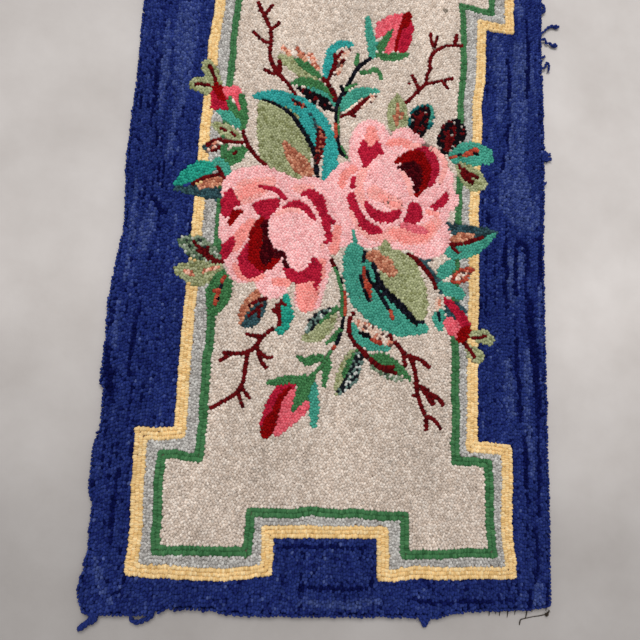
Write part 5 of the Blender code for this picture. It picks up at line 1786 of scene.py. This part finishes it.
def floor_material():
    material, tree, shader = base_material("pale_floor")
    place = add_node(tree, "ShaderNodeTexCoord")
    cloud = add_node(tree, "ShaderNodeTexNoise", {"Scale": 7.0, "Detail": 5.0, "Roughness": 0.6})
    speck = add_node(tree, "ShaderNodeTexNoise", {"Scale": 260.0, "Detail": 2.0})
    ramp = add_node(tree, "ShaderNodeValToRGB")
    ramp.color_ramp.elements[0].position = 0.3
    ramp.color_ramp.elements[0].color = colour("#C4BEBB")
    ramp.color_ramp.elements[1].position = 0.75
    ramp.color_ramp.elements[1].color = colour("#D6D1CF")
    bump = add_node(tree, "ShaderNodeBump", {"Strength": 0.1, "Distance": 0.001})
    links = tree.links
    split = add_node(tree, "ShaderNodeSeparateXYZ")
    links.new(place.outputs["Object"], split.inputs[0])
    toned = ramp.outputs["Color"]
    # Painted light and shade: the floor is darkened by its place along and across the rug
    for side, tones in (("Y", FLOOR_PAINTED_SHADE), ("X", FLOOR_PAINTED_SHADE_ACROSS)):
        shaded = add_node(tree, "ShaderNodeMix", {"Factor": 1.0}, {"data_type": "RGBA", "blend_type": "MULTIPLY"})
        links.new(toned, shaded.inputs["A"])
        links.new(floor_painted_shade(tree, split.outputs[side], tones), shaded.inputs["B"])
        toned = shaded.outputs["Result"]
    link_all(tree, [
        (place, "Object", cloud, "Vector"),
        (place, "Object", speck, "Vector"),
        (cloud, "Fac", ramp, "Fac"),
    ])
    links.new(toned, shader.inputs["Base Color"])
    link_all(tree, [
        (speck, "Fac", bump, "Height"),
        (bump, "Normal", shader, "Normal"),
    ])
    shader.inputs["Roughness"].default_value = 0.8
    shader.inputs["Specular IOR Level"].default_value = 0.25
    return material


def shared_out(loops, name, random):
    """Pieces of pile of at most the number of loops that a piece may hold, cut across the rug."""
    order = np.argsort(loops["place"][:, 1], kind="stable")
    parts = max(1, math.ceil(len(order) / LOOPS_A_PIECE))
    pieces = []
    for number, some in enumerate(np.array_split(order, parts)):
        title = name if parts == 1 else f"{name}_{number + 1}"
        pieces.append(loops_piece(title, chosen(loops, np.sort(some)), PILE_LEVELS, random))
    return pieces


def lay_loops(rim, random):
    """All loops: the navy ground, the lines, the free ones, the rim's row and the strips' rows."""
    chart = painted_chart(PATTERN)
    narrow = painted_chart(PATTERN, narrow_only=True)
    streaks = painted_chart(NAVY_STREAKS)
    bands = band_loops(chart, random)
    edge = rim_loops(rim, random)
    strips = {name: strip_loops(name, random) for name in STRIP_LINES}
    edge = chosen(edge, ~near_strips(edge["place"]))
    lines = narrow_lines(chart, random)
    taken = np.vstack([bands["place"], edge["place"]] + [one["place"] for one in strips.values()])
    navy = navy_loops(chart, streaks, rim, taken, random)
    lines = chosen(lines, spread(lines["place"], np.zeros((0, 2)), NARROW_APART))
    free = free_loops(chart, narrow, joined([lines, bands, navy]), random)
    return navy, bands, joined([free, lines]), edge, strips


def bed_pieces(rim):
    """The dense foot of the pile, which closes the gaps between loops: under the navy and the ground. Its colours
    are painted shade for the deep gaps: the darkest navy lot under the navy, and a dark greyish brown, darkened
    further, under the ground.
    """
    beds = []
    for name, ring, high, yarn, lot, patch in (
        ("pile_bed", offset_ring(rim, BED_INSET), BED_HIGH, "navy_dark", 0.2, 0.5),
        ("pile_bed_ground", offset_ring(BORDER_LINE, GROUND_INSET), GROUND_BED_HIGH, "gap_shade", 0.1, 0.2),
    ):
        beds.append(slab(name, ring, BED_LOW, high, BED_GRID, yarn_material(yarn)))
        even_dye(beds[-1], lot, patch)
    return beds


def pile_pieces(navy, bands, free, edge, rim, random):
    """The pile: its loops by kind, the beds under them and the fibres at the rim."""
    rose = np.isin(free["yarn"], [YARN_NUMBER[name] for name in ROSE_YARNS])
    field = free["yarn"] == YARN_NUMBER["field"]
    pile = shared_out(navy, "pile_navy", random)
    pile += shared_out(bands, "pile_lines", random)
    pile += shared_out(chosen(free, field), "pile_field", random)
    pile += shared_out(chosen(free, rose), "pile_roses", random)
    pile += shared_out(chosen(free, ~rose & ~field), "pile_leaves", random)
    pile.append(loops_piece("pile_rim", edge, RIM_LEVELS, random))
    pile += bed_pieces(rim)
    pile.append(fuzz_piece(rim, random))
    for piece in pile:
        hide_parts("pile")
    return pile


def tail_pieces(strips, random):
    """The ravelled ends of each strip."""
    tails = []
    for name, slot in STRIP_SLOTS.items():
        rows = [row for row in TAILS if row[0] == name]
        yarn = "navy" if name in strips else "brown_thread"
        tails.append(tails_piece(name + "_twisted", rows, yarn, random, strips.get(name)))
        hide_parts(name)
    return tails


def lay_cloth():
    """The burlap, a flat cloth laid on the floor."""
    cloth_ring = outline_of("foundation", 0.0)
    cloth = slab("burlap", cloth_ring, CLOTH_LOW, CLOTH_HIGH, CLOTH_GRID, burlap_material())
    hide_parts("foundation")


def dress():
    """Builds the whole rug around the frame."""
    random = np.random.default_rng(SEED)
    rim = full_rim(outline_of("pile", PILE_BULGE))
    navy, bands, free, edge, strips = lay_loops(rim, random)
    pile = pile_pieces(navy, bands, free, edge, rim, random)
    pile.append(stitches_piece(joined([free, navy, bands]), random))
    tails = tail_pieces(strips, random)
    lay_cloth()


def near_strips(places):
    """Which places are on a strip that is a node of its own."""
    near = np.zeros(len(places), bool)
    for start, end in STRIP_LINES.values():
        runs_along = np.abs(np.subtract(end, start)) > 1
        room = np.where(runs_along, STRIP_ROOM_ALONG, STRIP_ROOM_ACROSS)
        inside = (places > np.minimum(start, end) - room) & (places < np.maximum(start, end) + room)
        near |= inside.all(1)
    return near


def full_rim(pile_rim):
    """The pile's outline with the strips' rooms filled in, as evenly spaced points."""
    ring = pile_rim.copy()
    for start, end in STRIP_LINES.values():
        flat_axis = 0 if start[0] == end[0] else 1
        other = 1 - flat_axis
        line = start[flat_axis]
        low, high = sorted((start[other], end[other]))
        inside = (ring[:, other] > low - 0.6) & (ring[:, other] < high + 0.6)
        inside &= np.abs(ring[:, flat_axis] - line) < 8
        ring[inside, flat_axis] = line
    return ring


studio()
dress()
